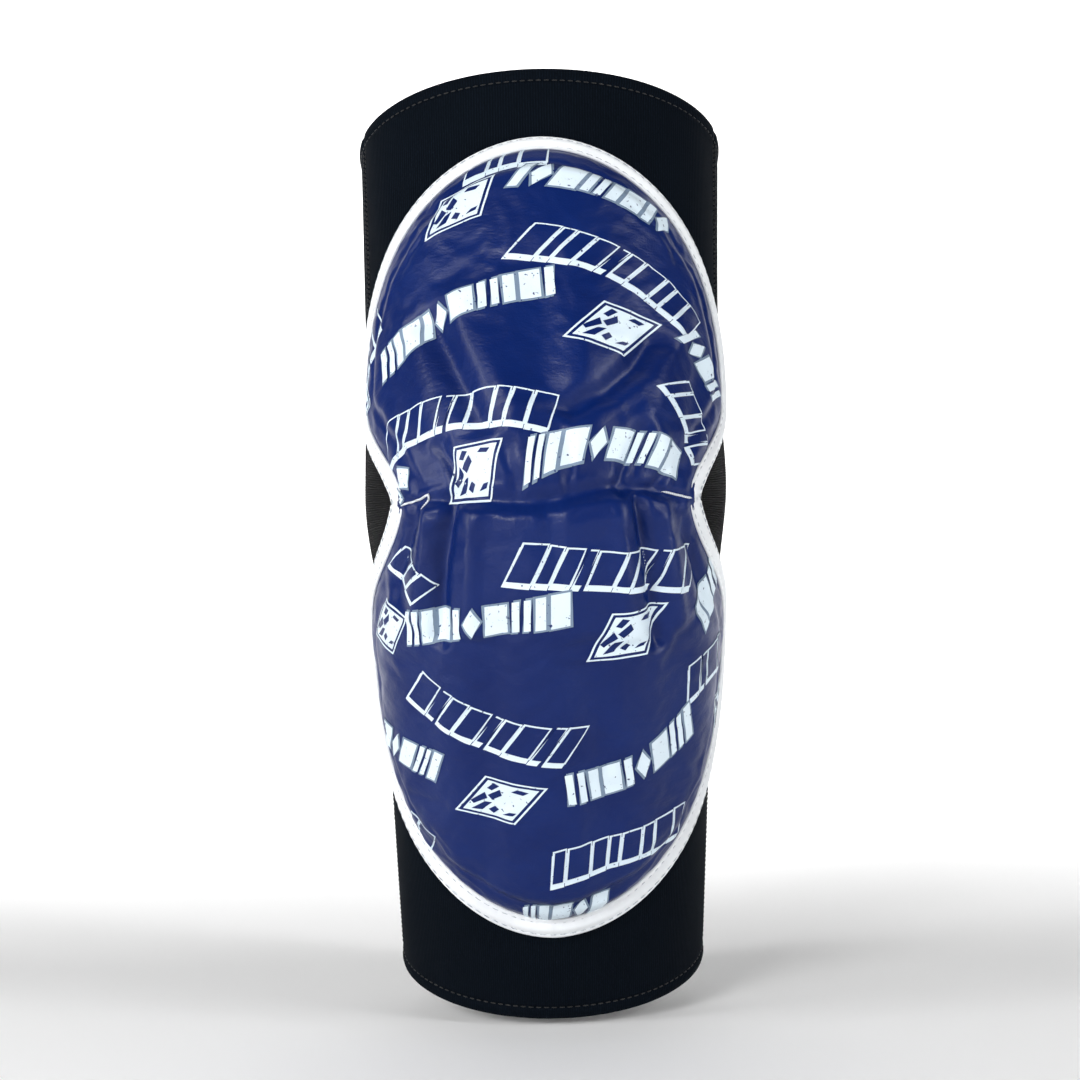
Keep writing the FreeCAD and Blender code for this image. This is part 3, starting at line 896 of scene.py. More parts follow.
def pad_cover():
    """The leather front of both lobes, drawn in at the waist seam, as one sewn piece."""
    along, edge_angle = cover_rows()
    across = np.linspace(-1, 1, COVER_COLUMNS)
    angle = edge_angle[:, None] * across[None]
    place = np.broadcast_to(along[:, None], angle.shape)
    height = pad_height(place, angle)
    rows, columns = angle.shape
    flat = np.stack([angle * mean_radius(), place], axis=-1).reshape(-1, 2)
    inside = distance_to(flat, pad_edge()[0]) - tape_width(flat[:, 1])
    gap = np.abs(flat[:, 1] - waist_line(flat[:, 0]))
    free = smoothstep(inside / (10 * MM)) * smoothstep(gap / (4 * MM))
    start = height.ravel() - COVER_SWELL * free * (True)
    points = on_guard(place.ravel(), angle.ravel(), start)
    cover = new_object("pad_cover", points, grid_faces(rows, columns), material(navy_leather),
                       flat)
    sewn = np.maximum(1 - smoothstep(inside / (3 * MM)),
                      SEAM_HOLD * np.exp(-(gap / (2 * MM)) ** 2))
    inflate(cover, dict(enumerate(np.maximum(sewn, FOAM_HOLD))))
    subdivide(cover)
    solidify = cover.modifiers.new("Thickness", "SOLIDIFY")
    solidify.thickness, solidify.offset = COVER_THICKNESS, -1
    finish_modifiers(cover)
    face_outwards(cover)
    cover.data.polygons.foreach_set("use_smooth", [True] * len(cover.data.polygons))
    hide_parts("upper_cover", "lower_cover")
    across_waist(cover)


FOAM_FLOOR = 2.1 * MM   # the foam's underside, on the backing
FOAM_LEAST = 2.8 * MM   # the lowest that its top comes
FOAM_SPLIT = 6.9 * MM   # where the soft foam ends and the dense foam starts
FOAM_DROP = 3.2 * MM    # the foam's top below the leather's face


def foam_layer(half, name, inset):
    """A foam block of one lobe, whose top follows the leather from a little below it."""
    dense = "impact" in name
    along, edge_angle = outline_half(half, inset, 40)
    keep = np.abs(along) > 2.2 * MM
    along, edge_angle = along[keep][:-1], np.maximum(edge_angle[keep][:-1], 0.01)
    across = np.linspace(-1, 1, 31)
    angle = edge_angle[:, None] * across[None]
    place = np.broadcast_to(along[:, None], angle.shape)
    roof = np.maximum(pad_height(place, angle) - FOAM_DROP, FOAM_LEAST)
    if dense:
        top, bottom = roof, np.minimum(FOAM_SPLIT + 0.1 * MM, roof - 0.2 * MM)
    else:
        top, bottom = np.minimum(FOAM_SPLIT - 0.1 * MM, roof - 0.4 * MM), FOAM_FLOOR
    layers = [on_guard(place, angle, top, NO_BEND), on_guard(place, angle, bottom, NO_BEND)]
    rows, columns = angle.shape
    surface = grid_faces(rows, columns)
    count = rows * columns
    faces = surface + [tuple(count + i for i in reversed(face)) for face in surface]
    rim = ([c for c in range(columns)] + [r * columns + columns - 1 for r in range(1, rows)]
           + [(rows - 1) * columns + c for c in reversed(range(columns - 1))]
           + [r * columns for r in reversed(range(1, rows - 1))])
    for first, second in zip(rim, rim[1:] + rim[:1]):
        faces.append((second, first, count + first, count + second))
    points = np.vstack([layer.reshape(-1, 3) for layer in layers])
    shade, cell = ("#2B2C30", 0.8) if dense else ("#6E7076", 1.6)
    foam = new_object(name + "_core", points, faces,
                      material(closed_cell_foam, name, hex_colour(shade), cell))
    face_outwards(foam)
    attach(foam, half)
    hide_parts(name)


def foam_core():
    """Dense impact foam under the leather and soft cushion foam beneath it, in both lobes."""
    for half in SIGNS:
        foam_layer(half, half + "_impact_foam", 14 * MM)
        foam_layer(half, half + "_cushion_foam", 9 * MM)


# The binding's section: share of its width in from the edge, and height above the sleeve in
# millimetres, going over the top and back underneath. It dips at its two stitch rows.
BINDING_SECTION = [
    (0.13, 0.15), (0.04, 0.5), (-0.03, 1.3), (-0.02, 2.3), (0.05, 3.05), (0.13, 3.4),
    (0.22, 3.2), (0.33, 3.8), (0.50, 4.15), (0.67, 3.85), (0.78, 3.3), (0.88, 3.75),
    (0.96, 3.8), (1.02, 3.4), (1.01, 2.7), (0.70, 1.6), (0.36, 0.9),
]
OUTER_ROW, INNER_ROW = 0.22, 0.78
BINDING_POINTS = 900
THREAD_HEIGHT = 3.35 * MM  # the stitch rows' height above the sleeve
WAIST_DIP = 0.9            # how far the binding's inner side sinks at the waist, in millimetres


def waist_dip(along):
    """Height that the binding's inner side loses near the waist seam, in millimetres."""
    return WAIST_DIP * np.exp(-(along / (7 * MM)) ** 2)


def edge_point(flat, inward, inset, height):
    """Points at an inset from the pad's edge and a height above the sleeve."""
    spot = flat + inward * np.reshape(inset, (-1, 1))
    return on_guard(spot[:, 1], spot[:, 0] / mean_radius(), height)


def edge_binding():
    """White leather tape folded round the pad's edge, puffed between its two stitch rows."""
    flat, inward = pad_edge(BINDING_POINTS)
    run = np.arange(BINDING_POINTS) * np.linalg.norm(flat[1] - flat[0])
    stitch = run / sizes("stitches").pitch * 2 * math.pi
    dip = waist_dip(flat[:, 1])
    slack = 0.5 * np.sin(run / (17 * MM)) + 0.5 * np.sin(run / (7.3 * MM))
    rings = []
    width = tape_width(flat[:, 1])
    # the upper tape ends on the lower one just under the waist, with a small step
    lap = 0.8 * np.exp(-((flat[:, 1] / MM + 1.2) / 0.8) ** 2)
    for share, height in BINDING_SECTION:
        top = smoothstep((height - 2.4) / 1.0)
        near_row = math.exp(-(min(abs(share - OUTER_ROW), abs(share - INNER_ROW)) / 0.16) ** 2)
        pucker = 0.13 * top * near_row * np.cos(stitch) + 0.12 * top * slack
        lift = height + pucker - dip * top * (share > 0.3) - lap * top
        rings.append(edge_point(flat, inward, share * width + (0.1 * slack - 0.2 * lap) * MM,
                                lift * MM))
    points = np.array(rings)
    shape = points.shape[:2]
    section_run = np.concatenate([[0], np.cumsum(np.hypot(*np.diff(BINDING_SECTION, axis=0).T))])
    uvs = np.stack([np.broadcast_to(run, shape),
                    np.broadcast_to(section_run[:, None] * MM, shape)], axis=-1)
    tape = new_object("edge_binding", points.reshape(-1, 3),
                      grid_faces(*shape, wrap_rows=True, wrap_columns=True),
                      material(white_leather), uvs.reshape(-1, 2))
    subdivide(tape)
    face_outwards(tape)
    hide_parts("upper_binding", "lower_binding")
    across_waist(tape)


# ---------------------------------------------------------------- sewing

def stitch_tree():
    """Geometry nodes that lay one thread float after another along a line."""
    tree = bpy.data.node_groups.new("Stitch row", "GeometryNodeTree")
    inputs = {}
    for label, kind in (("Line", "NodeSocketGeometry"), ("Pitch", "NodeSocketFloat"),
                        ("Length", "NodeSocketFloat"), ("Radius", "NodeSocketFloat"),
                        ("Material", "NodeSocketMaterial")):
        inputs[label] = tree.interface.new_socket(label, in_out="INPUT", socket_type=kind)
    tree.interface.new_socket("Stitches", in_out="OUTPUT", socket_type="NodeSocketGeometry")
    given = add(tree, "NodeGroupInput")
    points = add(tree, "GeometryNodeCurveToPoints", {"Curve": given.outputs["Line"],
                                                     "Length": given.outputs["Pitch"]},
                 mode="LENGTH")
    ball = add(tree, "GeometryNodeMeshUVSphere", {"Segments": 8, "Rings": 6, "Radius": 1.0})
    half_length = add(tree, "ShaderNodeMath", {0: given.outputs["Length"], 1: 0.5},
                      operation="MULTIPLY")
    scale = add(tree, "ShaderNodeCombineXYZ", {"X": given.outputs["Radius"],
                                               "Y": given.outputs["Radius"],
                                               "Z": half_length.outputs[0]})
    thread = add(tree, "GeometryNodeInstanceOnPoints", {
        "Points": points.outputs["Points"], "Instance": ball.outputs["Mesh"],
        "Rotation": points.outputs["Rotation"], "Scale": scale.outputs["Vector"]})
    real = add(tree, "GeometryNodeRealizeInstances", {"Geometry": thread.outputs["Instances"]})
    smooth = add(tree, "GeometryNodeSetShadeSmooth", {"Geometry": real.outputs["Geometry"]})
    inked = add(tree, "GeometryNodeSetMaterial", {"Geometry": smooth.outputs["Geometry"],
                                                  "Material": given.outputs["Material"]})
    add(tree, "NodeGroupOutput", {"Stitches": inked.outputs["Geometry"]})
    return tree, {label: socket.identifier for label, socket in inputs.items()}


def stitch_row(name, lines, thread, scale=1.0):
    """One mesh of stitches along several lines of points."""
    if not stitch_row.tree:
        stitch_row.tree = stitch_tree()
    tree, identifiers = stitch_row.tree
    sewing = sizes("stitches")
    curve = bpy.data.curves.new(name, "CURVE")
    curve.dimensions = "3D"
    for points, closed in lines:
        spline = curve.splines.new("POLY")
        spline.points.add(len(points) - 1)
        padded = np.hstack([points, np.ones((len(points), 1))])
        spline.points.foreach_set("co", padded.ravel())
        spline.use_cyclic_u = closed
    holder = bpy.data.objects.new(name + "_line", curve)
    bpy.context.scene.collection.objects.link(holder)
    modifier = holder.modifiers.new("Stitches", "NODES")
    modifier.node_group = tree
    modifier[identifiers["Pitch"]] = sewing.pitch * scale
    modifier[identifiers["Length"]] = sewing.length * scale
    modifier[identifiers["Radius"]] = sewing.radius
    modifier[identifiers["Material"]] = thread
    evaluated = holder.evaluated_get(bpy.context.evaluated_depsgraph_get())
    mesh = bpy.data.meshes.new_from_object(evaluated)
    bpy.data.objects.remove(holder)
    row = bpy.data.objects.new(name, mesh)
    mesh.name = name
    bpy.context.scene.collection.objects.link(row)
    return row


stitch_row.tree = None


def binding_stitches():
    """Two rows of grey stitches on the binding, each in its own dip."""
    grey = material(twisted_thread, "grey polyester thread, corespun", sizes("colours").thread)
    flat, inward = pad_edge(BINDING_POINTS)
    for row, share in (("outer", OUTER_ROW), ("inner", INNER_ROW)):
        dip = waist_dip(flat[:, 1]) * MM * (row == "inner")
        line = edge_point(flat, inward, share * tape_width(flat[:, 1]), THREAD_HEIGHT - dip)
        stitches = stitch_row("binding_%s_stitches" % row, [(line, True)], grey)
        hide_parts(*("%s_binding_%s_thread" % (half, row) for half in SIGNS))
        across_waist(stitches)


def sleeve_stitches():
    """The hem rows and the side seams of the jersey, in black thread."""
    sleeve = sizes("sleeve")
    black = material(twisted_thread, "black polyester thread, corespun",
                     sizes("colours").dark_thread)
    round_angle = np.linspace(0, 2 * math.pi, 360, endpoint=False)
    for half, sign in SIGNS.items():
        hem = on_guard(sign * (LENGTH[half] - sleeve.hem), round_angle, 0.0, NO_BEND)
        row = stitch_row(half + "_hem_stitches", [(hem, True)], black, 0.8)
        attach(row, half)
        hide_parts(half + "_hem_thread")
        seam = getattr(sleeve, half + "_seam")
        lines = []
        for side in (-1, 1):
            for offset in (-1.1, 1.1):
                angle = side * seam + offset * MM / mean_radius()
                start = band_edge(half, np.array([angle]))[0] + 2 * MM
                along = np.linspace(start, LENGTH[half] - 1.6 * sleeve.hem, 60)
                lines.append((on_guard(sign * along, angle, 0.03 * MM, NO_BEND), False))
        row = stitch_row(half + "_side_seam_stitches", lines, black, 0.55)
        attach(row, half)
        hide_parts(half + "_side_seam_threads")


TUBE_SIDES = 10


def tube(name, points, radius, finish):
    """A closed round thread along points, tapered at both ends."""
    points = np.asarray(points)
    tangent = np.gradient(points, axis=0)
    tangent /= np.linalg.norm(tangent, axis=1, keepdims=True)
    side = np.cross(tangent, (0.0, 1.0, 0.0))
    side /= np.linalg.norm(side, axis=1, keepdims=True)
    lift = np.cross(side, tangent)
    turns = np.linspace(0, 2 * math.pi, TUBE_SIDES, endpoint=False)
    share = np.linspace(0, 1, len(points))
    thick = radius * np.minimum(1, 8 * np.minimum(share, 1 - share) + 0.15)
    ring = (np.cos(turns)[None, :, None] * side[:, None] + np.sin(turns)[None, :, None]
            * lift[:, None]) * thick[:, None, None] + points[:, None]
    faces = grid_faces(len(points), TUBE_SIDES, wrap_columns=True)
    last = (len(points) - 1) * TUBE_SIDES
    faces += [tuple(range(TUBE_SIDES)), tuple(last + i for i in reversed(range(TUBE_SIDES)))]
    thing = new_object(name, ring.reshape(-1, 3), faces, finish)
    face_outwards(thing)
    return thing


TACK_RADIUS = 0.32 * MM
TACK_LIFT = 0.25 * MM    # of the tack's middle line above the leather
SEAM_DEPTH = 1.7 * MM    # of the buried waist thread below the leather
DROP_HEIGHT = 30 * MM    # above the sleeve, from where points are dropped
DROP_REACH = 60 * MM     # how far they may fall
DROP_MISSED = 4 * MM     # height above the sleeve of a point that meets nothing

# Each tack in the flat, in millimetres: arc from the middle and place along the arm.
TACKS = {
    "left": [(-44.5, -2.2), (-42.0, -1.2), (-39.0, -0.3), (-36.0, 0.5), (-33.2, 1.2),
             (-33.6, -0.2), (-34.8, -2.6)],
    "right": [(33.5, 0.9), (36.0, 0.8), (38.5, 0.4), (41.0, -0.1), (43.0, -0.6), (44.8, -1.0)],
}


def drop_on(tree, along, angle, lift):
    """Points dropped on a surface from outside it, and the surface's direction there."""
    high = on_guard(along, angle, DROP_HEIGHT)
    low = on_guard(along, angle, 0.0)
    points, hits = [], []
    for start, end in zip(high.reshape(-1, 3), low.reshape(-1, 3)):
        way = Vector(end - start).normalized()
        spot, normal, _, _ = tree.ray_cast(Vector(start), way, DROP_REACH)
        if spot is None:
            spot, normal = Vector(end) - way * DROP_MISSED, -way
        if normal.dot(way) > 0:
            normal = -normal
        points.append(spot + normal * lift)
        hits.append(normal)
    return np.array(points), np.array(hits)


def surface_of(name):
    """A search tree of a finished piece's faces."""
    thing = bpy.data.objects[name]
    return BVHTree.FromObject(thing, bpy.context.evaluated_depsgraph_get())


def waist_threads():
    """The white tacks that tie down both ends of the waist seam, and its buried stitch row."""
    surface = surface_of("pad_cover")
    white = material(twisted_thread, "white polyester thread, bonded", sizes("colours").tack)
    pieces = []
    for side, corners in TACKS.items():
        corners = np.array(corners)
        share = np.linspace(0, len(corners) - 1, 40)
        flat = np.stack([np.interp(share, range(len(corners)), corners[:, i])
                         for i in range(2)], axis=1) * MM
        points, _ = drop_on(surface, flat[:, 1], flat[:, 0] / mean_radius(), TACK_LIFT)
        pieces.append(tube("waist_tack_" + side, points, TACK_RADIUS, white))
    joined = join(pieces, "waist_seam_tacks")
    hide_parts("waist_tacks")
    across_waist(joined)
    arc = np.linspace(-30, 30, 80) * MM
    seam, angle = waist_line(arc), arc / mean_radius()
    points = on_guard(seam, angle, pad_height(seam, angle) - SEAM_DEPTH)
    black = material(twisted_thread, "black polyester thread, corespun",
                     sizes("colours").dark_thread)
    row = stitch_row("waist_seam_stitches", [(points, False)], black)
    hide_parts("waist_seam_thread")
    across_waist(row)


def join(pieces, name):
    """Several meshes as one object."""
    mesh = bmesh.new()
    for piece in pieces:
        mesh.from_mesh(piece.data)
    first = pieces[0]
    mesh.to_mesh(first.data)
    mesh.free()
    for piece in pieces[1:]:
        bpy.data.objects.remove(piece)
    first.name = first.data.name = name
    return first


# ---------------------------------------------------------------- printed marks

# Marks in the flat, in millimetres: kind, middle (arc, along), length, height, turn in degrees,
# and bow, the rise of the middle over the ends.
MARKS = [
    ("open", (-8, 99), 22, 6, 8, 1),
    ("solid", (15, 87), 42, 8, -17, 3),
    ("badge", (-20, 84), 22, 12, 14, 0),
    ("open", (19, 62), 50, 9, -25, 4),
    ("solid", (-21, 51), 52, 8, 18, 2),
    ("badge", (17, 44), 22, 14, -16, 0),
    ("open", (-55, 54), 20, 8, 40, 0),
    ("solid", (46, 41), 22, 8, -38, 1),
    ("badge", (-61, 38), 16, 11, 30, 0),
    ("open", (-22, 20), 50, 9, -1, 3),
    ("open", (42, 22), 24, 9, -50, 1),
    ("solid", (17, 9), 44, 8, 3, 3),
    ("badge", (-19, 5), 18, 12, 2, 0),
    ("solid", (-43, 6), 13, 8, 40, 1),
    ("open", (17, -17), 50, 10, -9, 1),
    ("open", (-38, -22), 16, 8, -30, 1),
    ("solid", (-16, -31.5), 46, 9, 14, 1),
    ("badge", (20, -36), 22, 14, 0, 0),
    ("solid", (50, -32), 18, 9, 40, 1),
    ("badge", (-47, -40), 16, 15, -10, 0),
    ("open", (49, -54), 20, 9, 12, 1),
    ("open", (-15, -63), 46, 10, -17, -3),
    ("solid", (23, -76), 40, 9, 22, -3),
    ("solid", (-42, -78), 26, 9, -6, 0),
    ("badge", (-13, -86), 23, 13, -8, 0),
    ("open", (20, -103), 40, 9, 10, 1),
    ("solid", (4, -124), 26, 8, 9, 1),
    ("badge", (62, -74), 14, 12, 20, 0),
    ("open", (-40, -104), 12, 7, -20, 0),
]

# Blocks that fill a band, as corners in a unit square. They stand for no letter or sign.
SLAB = [[(0, 0), (1, 0), (1, 1), (0, 1)]]
TWIN = [[(0, 0), (0.40, 0), (0.40, 1), (0, 1)], [(0.64, 0), (1, 0), (1, 1), (0.64, 1)]]
DIAMOND = [[(0.5, 0), (1, 0.5), (0.5, 1), (0, 0.5)]]
RHYTHMS = {  # each block and its share of a band's length
    "open": [
        [(SLAB, 1.3), (SLAB, 0.7), (SLAB, 1.0), (SLAB, 1.5), (SLAB, 0.8), (SLAB, 1.1)],
        [(SLAB, 0.8), (SLAB, 1.4), (SLAB, 1.0), (SLAB, 0.7), (SLAB, 1.2)],
        [(SLAB, 1.1), (SLAB, 0.7), (SLAB, 1.5), (SLAB, 0.9)],
    ],
    "solid": [
        [(SLAB, 0.7), (SLAB, 1.2), (TWIN, 1.2), (SLAB, 1.0), (DIAMOND, 1.1), (SLAB, 0.6)],
        [(SLAB, 1.1), (SLAB, 0.6), (DIAMOND, 1.0), (SLAB, 1.3), (TWIN, 1.1), (SLAB, 0.7)],
        [(SLAB, 1.2), (TWIN, 1.0), (SLAB, 0.8), (SLAB, 1.3), (DIAMOND, 1.0)],
    ],
}
CELL = 5.2        # about one block and its gap in a band, in millimetres as the next three are
BLOCK_GAP = 1.15  # between two blocks
RIM = 0.48        # the outline round each block
SHADOW = (-0.5, -1.3)  # how far an open band's drop shadow is set off
SLANT = 0.26      # how far the blocks lean, as a share of their height
FILM_STEP = 0.9 * MM   # between the points of an ink film
FILM_THICKNESS = 0.08 * MM
FILM_TUCK = 1.2 * MM   # how far a film runs on under the binding
UNDER, MIDDLE, TOP = 0.09 * MM, 0.18 * MM, 0.30 * MM  # the films' heights above the leather


def patch(corners):
    """A four-cornered patch as a small grid in the mark's own millimetres."""
    a, b, c, d = (np.array(corner, float) for corner in corners)
    wide = max(np.linalg.norm(b - a), np.linalg.norm(c - d))
    tall = max(np.linalg.norm(d - a), np.linalg.norm(c - b))
    columns = max(2, int(math.ceil(wide * MM / FILM_STEP)) + 1)
    rows = max(2, int(math.ceil(tall * MM / FILM_STEP)) + 1)
    u = np.linspace(0, 1, columns)[None, :, None]
    v = np.linspace(0, 1, rows)[:, None, None]
    grid = (a * (1 - u) + b * u) * (1 - v) + (d * (1 - u) + c * u) * v
    return grid.reshape(-1, 2), grid_faces(rows, columns)


def grown(corners, by, shift=(0, 0)):
    """A patch's corners moved out from its middle on both axes, and set off."""
    corners = np.array(corners, float)
    away = corners - corners.mean(axis=0)
    return corners + np.sign(np.round(away, 6)) * by + shift


def band_blocks(kind, length, height, number):
    """The blocks of one band about its middle, taller towards its ends."""
    rhythm = RHYTHMS[kind][number % len(RHYTHMS[kind])]
    count = max(1, int(round(length / CELL)))
    shapes = [rhythm[(number + i) % len(rhythm)] for i in range(count)]
    ends = np.cumsum([0] + [share for _, share in shapes])
    ends = (ends / ends[-1] - 0.5) * length
    blocks = []
    for (shape, _), start, end in zip(shapes, ends, ends[1:]):
        tall = height * (0.9 + 0.2 * abs(start + end) / length)
        wide = end - start - BLOCK_GAP
        blocks += [[(start + u * wide + SLANT * tall * (v - 0.5), tall * (v - 0.5))
                    for u, v in corners] for corners in shape]
    return blocks


BADGE = [(-1.0, -1.0), (0.42, -1.0), (1.0, 1.0), (-0.42, 1.0)]
BADGE_MARKS = [  # navy flecks on the badge's plate, across and up it
    [(0.00, 0.30), (0.10, 0.22), (0.26, 0.46), (0.12, 0.62)],
    [(0.14, 0.06), (0.34, 0.10), (0.40, 0.38), (0.26, 0.34)],
    [(0.22, 0.56), (0.36, 0.46), (0.46, 0.66), (0.34, 0.82)],
    [(0.44, 0.16), (0.58, 0.08), (0.62, 0.22), (0.50, 0.30)],
    [(0.10, 0.76), (0.22, 0.72), (0.28, 0.92), (0.14, 0.96)],
    [(0.56, 0.84), (0.80, 0.80), (0.86, 0.90), (0.62, 0.94)],
    [(0.76, 0.10), (0.94, 0.14), (0.96, 0.24), (0.84, 0.22)],
]


def badge_patches(width, height):
    """A four-sided badge: its rim, its pale plate and the navy flecks on the plate."""
    ring = np.array(BADGE) * (width / 2, height / 2)
    inner, plate = ring * 0.93, ring * 0.82
    rim = [patch([ring[i], ring[(i + 1) % 4], inner[(i + 1) % 4], inner[i]]) for i in range(4)]

    def on_plate(u, v):
        return ((plate[0] * (1 - u) + plate[1] * u) * (1 - v)
                + (plate[3] * (1 - u) + plate[2] * u) * v)

    marks = [patch([on_plate(u, v) for u, v in corners]) for corners in BADGE_MARKS]
    return rim + [patch(plate)], marks


def film_mesh(pieces, name, ink, surface):
    """Thin ink films laid on the leather, cut off where the binding covers them."""
    edge, _ = pad_edge()
    points, faces, places = [], [], []
    for (grid, cells), (middle, turn, length, bow), lift in pieces:
        bend = bow * (0.5 - (2 * grid[:, 0] / length) ** 2)
        lifted = np.stack([grid[:, 0], grid[:, 1] + bend], axis=1)
        cos, sin = math.cos(turn), math.sin(turn)
        flat = (lifted @ np.array([[cos, sin], [-sin, cos]]) + middle) * MM
        keep = distance_to(flat, edge) - tape_width(flat[:, 1]) > -FILM_TUCK
        used = [cell for cell in cells if all(keep[i] for i in cell)]
        if not used:
            continue
        top, normal = drop_on(surface, flat[:, 1], flat[:, 0] / mean_radius(), lift)
        base, count = len(points), len(top)
        points.extend(top)
        points.extend(top - normal * FILM_THICKNESS)
        places.extend(np.concatenate([flat, flat]))
        sides = {}
        for cell in used:
            faces.append(tuple(base + i for i in cell))
            faces.append(tuple(base + count + i for i in reversed(cell)))
            for first, second in zip(cell, cell[1:] + cell[:1]):
                if (second, first) in sides:
                    del sides[second, first]
                else:
                    sides[first, second] = True
        faces.extend((base + second, base + first, base + count + first, base + count + second)
                     for first, second in sides)
    film = new_object(name, np.array(points), faces, ink, np.array(places))
    mesh = bmesh.new()
    mesh.from_mesh(film.data)
    bmesh.ops.delete(mesh, geom=[v for v in mesh.verts if not v.link_faces], context="VERTS")
    bmesh.ops.recalc_face_normals(mesh, faces=mesh.faces)
    mesh.to_mesh(film.data)
    mesh.free()
    film.data.set_sharp_from_angle(angle=math.radians(50))
    return film


def printed_marks():
    """Screen-printed bands and badges all over the leather: open bands of navy blocks with a
    white outline and drop shadow, solid bands of pale blocks outlined in grey, and badges."""
    surface = surface_of("pad_cover")
    layers = {"white": [], "grey": [], "navy": [], "pale": []}
    for number, (kind, middle, length, height, turn, bow) in enumerate(MARKS):
        place = (np.array(middle, float), math.radians(turn), length, bow)
        if kind == "badge":
            plate, marks = badge_patches(length, height)
            layers["pale"] += [(piece, place, MIDDLE) for piece in plate]
            layers["navy"] += [(piece, place, TOP) for piece in marks]
            continue
        for block in band_blocks(kind, length, height, number):
            if kind == "solid":
                layers["grey"].append((patch(grown(block, 1.2 * RIM)), place, MIDDLE))
                layers["pale"].append((patch(block), place, TOP))
            else:
                layers["white"].append((patch(grown(block, RIM, SHADOW)), place, UNDER))
                layers["white"].append((patch(grown(block, RIM)), place, MIDDLE))
                layers["navy"].append((patch(block), place, TOP))
    colours = sizes("colours")
    inks = {
        "white": material(printed_ink, "white ink, screen printed", colours.ink),
        "grey": material(printed_ink, "grey ink, screen printed", colours.outline),
        "navy": material(navy_leather),  # where the outline leaves the leather bare
        "pale": material(printed_ink, "pale ink, screen printed", colours.ink),
    }
    for layer, pieces in layers.items():
        film = film_mesh(pieces, "print_" + layer, inks[layer], surface)
        across_waist(film)


# ---------------------------------------------------------------- carried-over parts and stage

def backing_finish():
    """The backing cloth keeps its frame shape and gets its weave."""
    for half in SIGNS:
        node = frame["nodes"][half + "_backing"]
        node.data.materials.clear()
        node.data.materials.append(material(woven_backing))


def look_at(thing, target):
    thing.rotation_mode = "QUATERNION"
    thing.rotation_quaternion = (Vector(target) - thing.location).to_track_quat("-Z", "Y")


def softbox(name, place, target, size, power, tint="#FFFFFF"):
    light = bpy.data.lights.new(name, "AREA")
    light.shape = "RECTANGLE"
    light.size, light.size_y = size
    light.energy = power
    light.color = hex_colour(tint)
    thing = bpy.data.objects.new(name, light)
    thing.location = place
    bpy.context.scene.collection.objects.link(thing)
    look_at(thing, target)


CAMERA_DISTANCE = 0.65
VIEW_WIDTH = 324.54 * MM  # what the view takes in from side to side, at the arm's axis
CAMERA_ROLL = math.radians(1.0)


def stage():
    """A pale floor that sweeps up behind, soft studio lights and the camera."""
    scene = bpy.context.scene
    low = CAD_BOX[0].z - 2 * MM
    profile = [(-2.5, 0.0), (1.2, 0.0)]
    profile += [(1.2 + 0.8 * math.sin(t), 0.8 - 0.8 * math.cos(t))
                for t in np.linspace(0.1, math.pi / 2, 14)]
    profile += [(2.0, 3.0)]
    points = [(x, y, low + z) for y, z in profile for x in (-4.0, 4.0)]
    paper, tree, shader = new_material("matt white studio paper")
    fill(tree, shader, {"Base Color": rgba(hex_colour("#FDFDFD")), "Roughness": 0.95,
                        "Specular IOR Level": 0.1})
    floor = new_object("studio_floor", points, grid_faces(len(profile), 2), paper)

    world = bpy.data.worlds.new("soft white room")
    world.use_nodes = True
    tree = world.node_tree
    tree.nodes.clear()
    seen = add(tree, "ShaderNodeBackground", {"Color": rgba(hex_colour("#F4F5F6")),
                                              "Strength": 0.9})
    lit = add(tree, "ShaderNodeBackground", {"Color": rgba(hex_colour("#FFFFFF")),
                                             "Strength": 0.07})
    path = add(tree, "ShaderNodeLightPath")
    both = add(tree, "ShaderNodeMixShader", {0: path.outputs["Is Camera Ray"],
                                             1: lit.outputs[0], 2: seen.outputs[0]})
    add(tree, "ShaderNodeOutputWorld", {"Surface": both.outputs[0]})
    scene.world = world
    middle = (0, 0, -0.01)
    softbox("key", (-0.55, -1.05, 0.36), middle, (0.4, 0.4), 8.8)
    softbox("right strip", (0.95, -0.6, 0.15), middle, (0.2, 1.0), 8.5)
    softbox("left strip", (-1.0, -0.45, 0.1), middle, (0.2, 1.0), 8)
    softbox("top", (0.0, 0.1, 0.9), middle, (0.9, 0.4), 1)
    softbox("back paper", (0, 0.6, 0.9), (0, 1.9, 0.3), (2.5, 0.6), 48)
    scene.view_settings.view_transform = "Standard"

    camera_data = bpy.data.cameras.new("camera")
    camera_data.sensor_width = 36
    camera_data.lens = camera_data.sensor_width * CAMERA_DISTANCE / VIEW_WIDTH
    camera = bpy.data.objects.new("camera", camera_data)
    camera.location = (-0.0019, -CAMERA_DISTANCE, -0.0120)
    camera.rotation_mode = "XYZ"
    camera.rotation_euler = (math.pi / 2, CAMERA_ROLL, 0)
    scene.collection.objects.link(camera)
    scene.camera = camera


# ---------------------------------------------------------------- operators and panel

def jersey_panels():
    for half in SIGNS:
        for side in ("front", "back"):
            jersey_panel(half, side)


def foam_and_backing():
    foam_core()
    backing_finish()


def sewing():
    binding_stitches()
    sleeve_stitches()
    waist_threads()


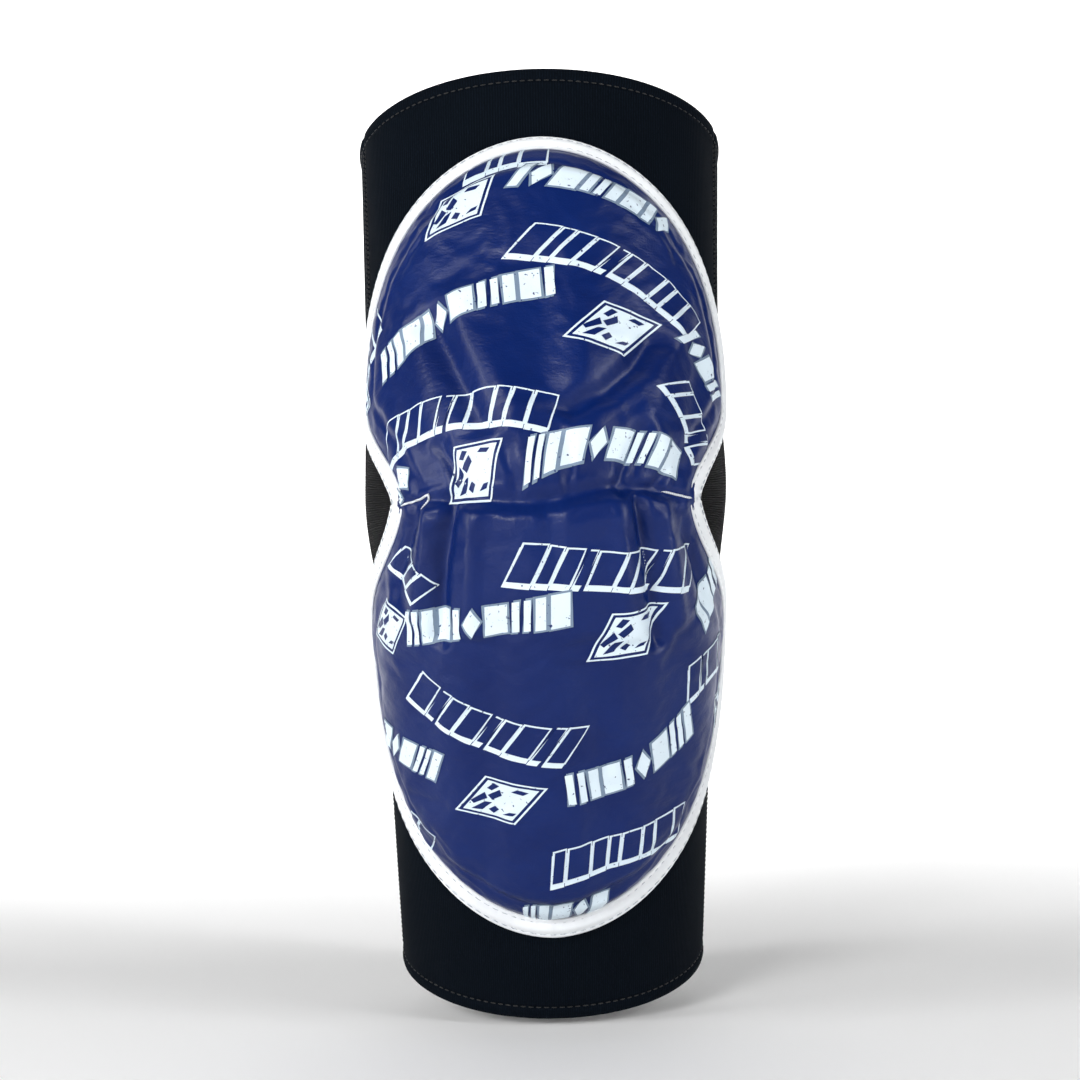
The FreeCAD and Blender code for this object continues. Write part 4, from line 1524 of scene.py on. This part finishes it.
def step_operator(name, label, does, build):
    """The operator of one building step."""
    def execute(self, context):
        build()
        return {"FINISHED"}

    return type("GUARD_OT_" + name, (bpy.types.Operator,), {
        "__doc__": does, "bl_idname": "guard." + name, "bl_label": label, "execute": execute})


OPERATORS = [step_operator(*step) for step in (
    ("jersey", "Jersey panels", "Builds the four jersey panels with their hems", jersey_panels),
    ("knit", "Knit band", "Builds the rib knit band round the elbow", knit_band),
    ("cover", "Pad cover", "Builds the padded leather front", pad_cover),
    ("foam", "Foam and backing", "Builds the foam and finishes its backing", foam_and_backing),
    ("binding", "Edge binding", "Builds the folded binding round the pad", edge_binding),
    ("sewing", "Sewing", "Sews the binding, hems, side seams and waist", sewing),
    ("print_marks", "Printed marks", "Prints the marks on the leather", printed_marks),
    ("stage", "Stage", "Sets the floor, lights and camera", stage),
)]


class GUARD_PT_panel(bpy.types.Panel):
    """Lists the guard's sizes, colours and building steps"""
    bl_idname = "GUARD_PT_panel"
    bl_label = "Elbow Guard"
    bl_space_type = "VIEW_3D"
    bl_region_type = "UI"
    bl_category = "Elbow Guard"

    def draw(self, context):
        for group in GROUPS:
            box = self.layout.box()
            box.label(text=group.title())
            for name in GROUPS[group].__annotations__:
                box.prop(sizes(group), name)
        for operator in OPERATORS:
            self.layout.operator(operator.bl_idname)


GROUPS = {"sleeve": SleeveSizes, "pad": PadSizes, "stitches": StitchSizes,
          "colours": GuardColours}


def register():
    for group, kind in GROUPS.items():
        bpy.utils.register_class(kind)
        setattr(bpy.types.Scene, "guard_" + group, bpy.props.PointerProperty(type=kind))
    for kind in OPERATORS + [GUARD_PT_panel]:
        bpy.utils.register_class(kind)


def unregister():
    for kind in reversed(OPERATORS + [GUARD_PT_panel]):
        bpy.utils.unregister_class(kind)
    for group, kind in GROUPS.items():
        delattr(bpy.types.Scene, "guard_" + group)
        bpy.utils.unregister_class(kind)


def main():
    register()
    for operator in OPERATORS:
        package, name = operator.bl_idname.split(".")
        getattr(getattr(bpy.ops, package), name)()


if __name__ == "__main__":
    main()
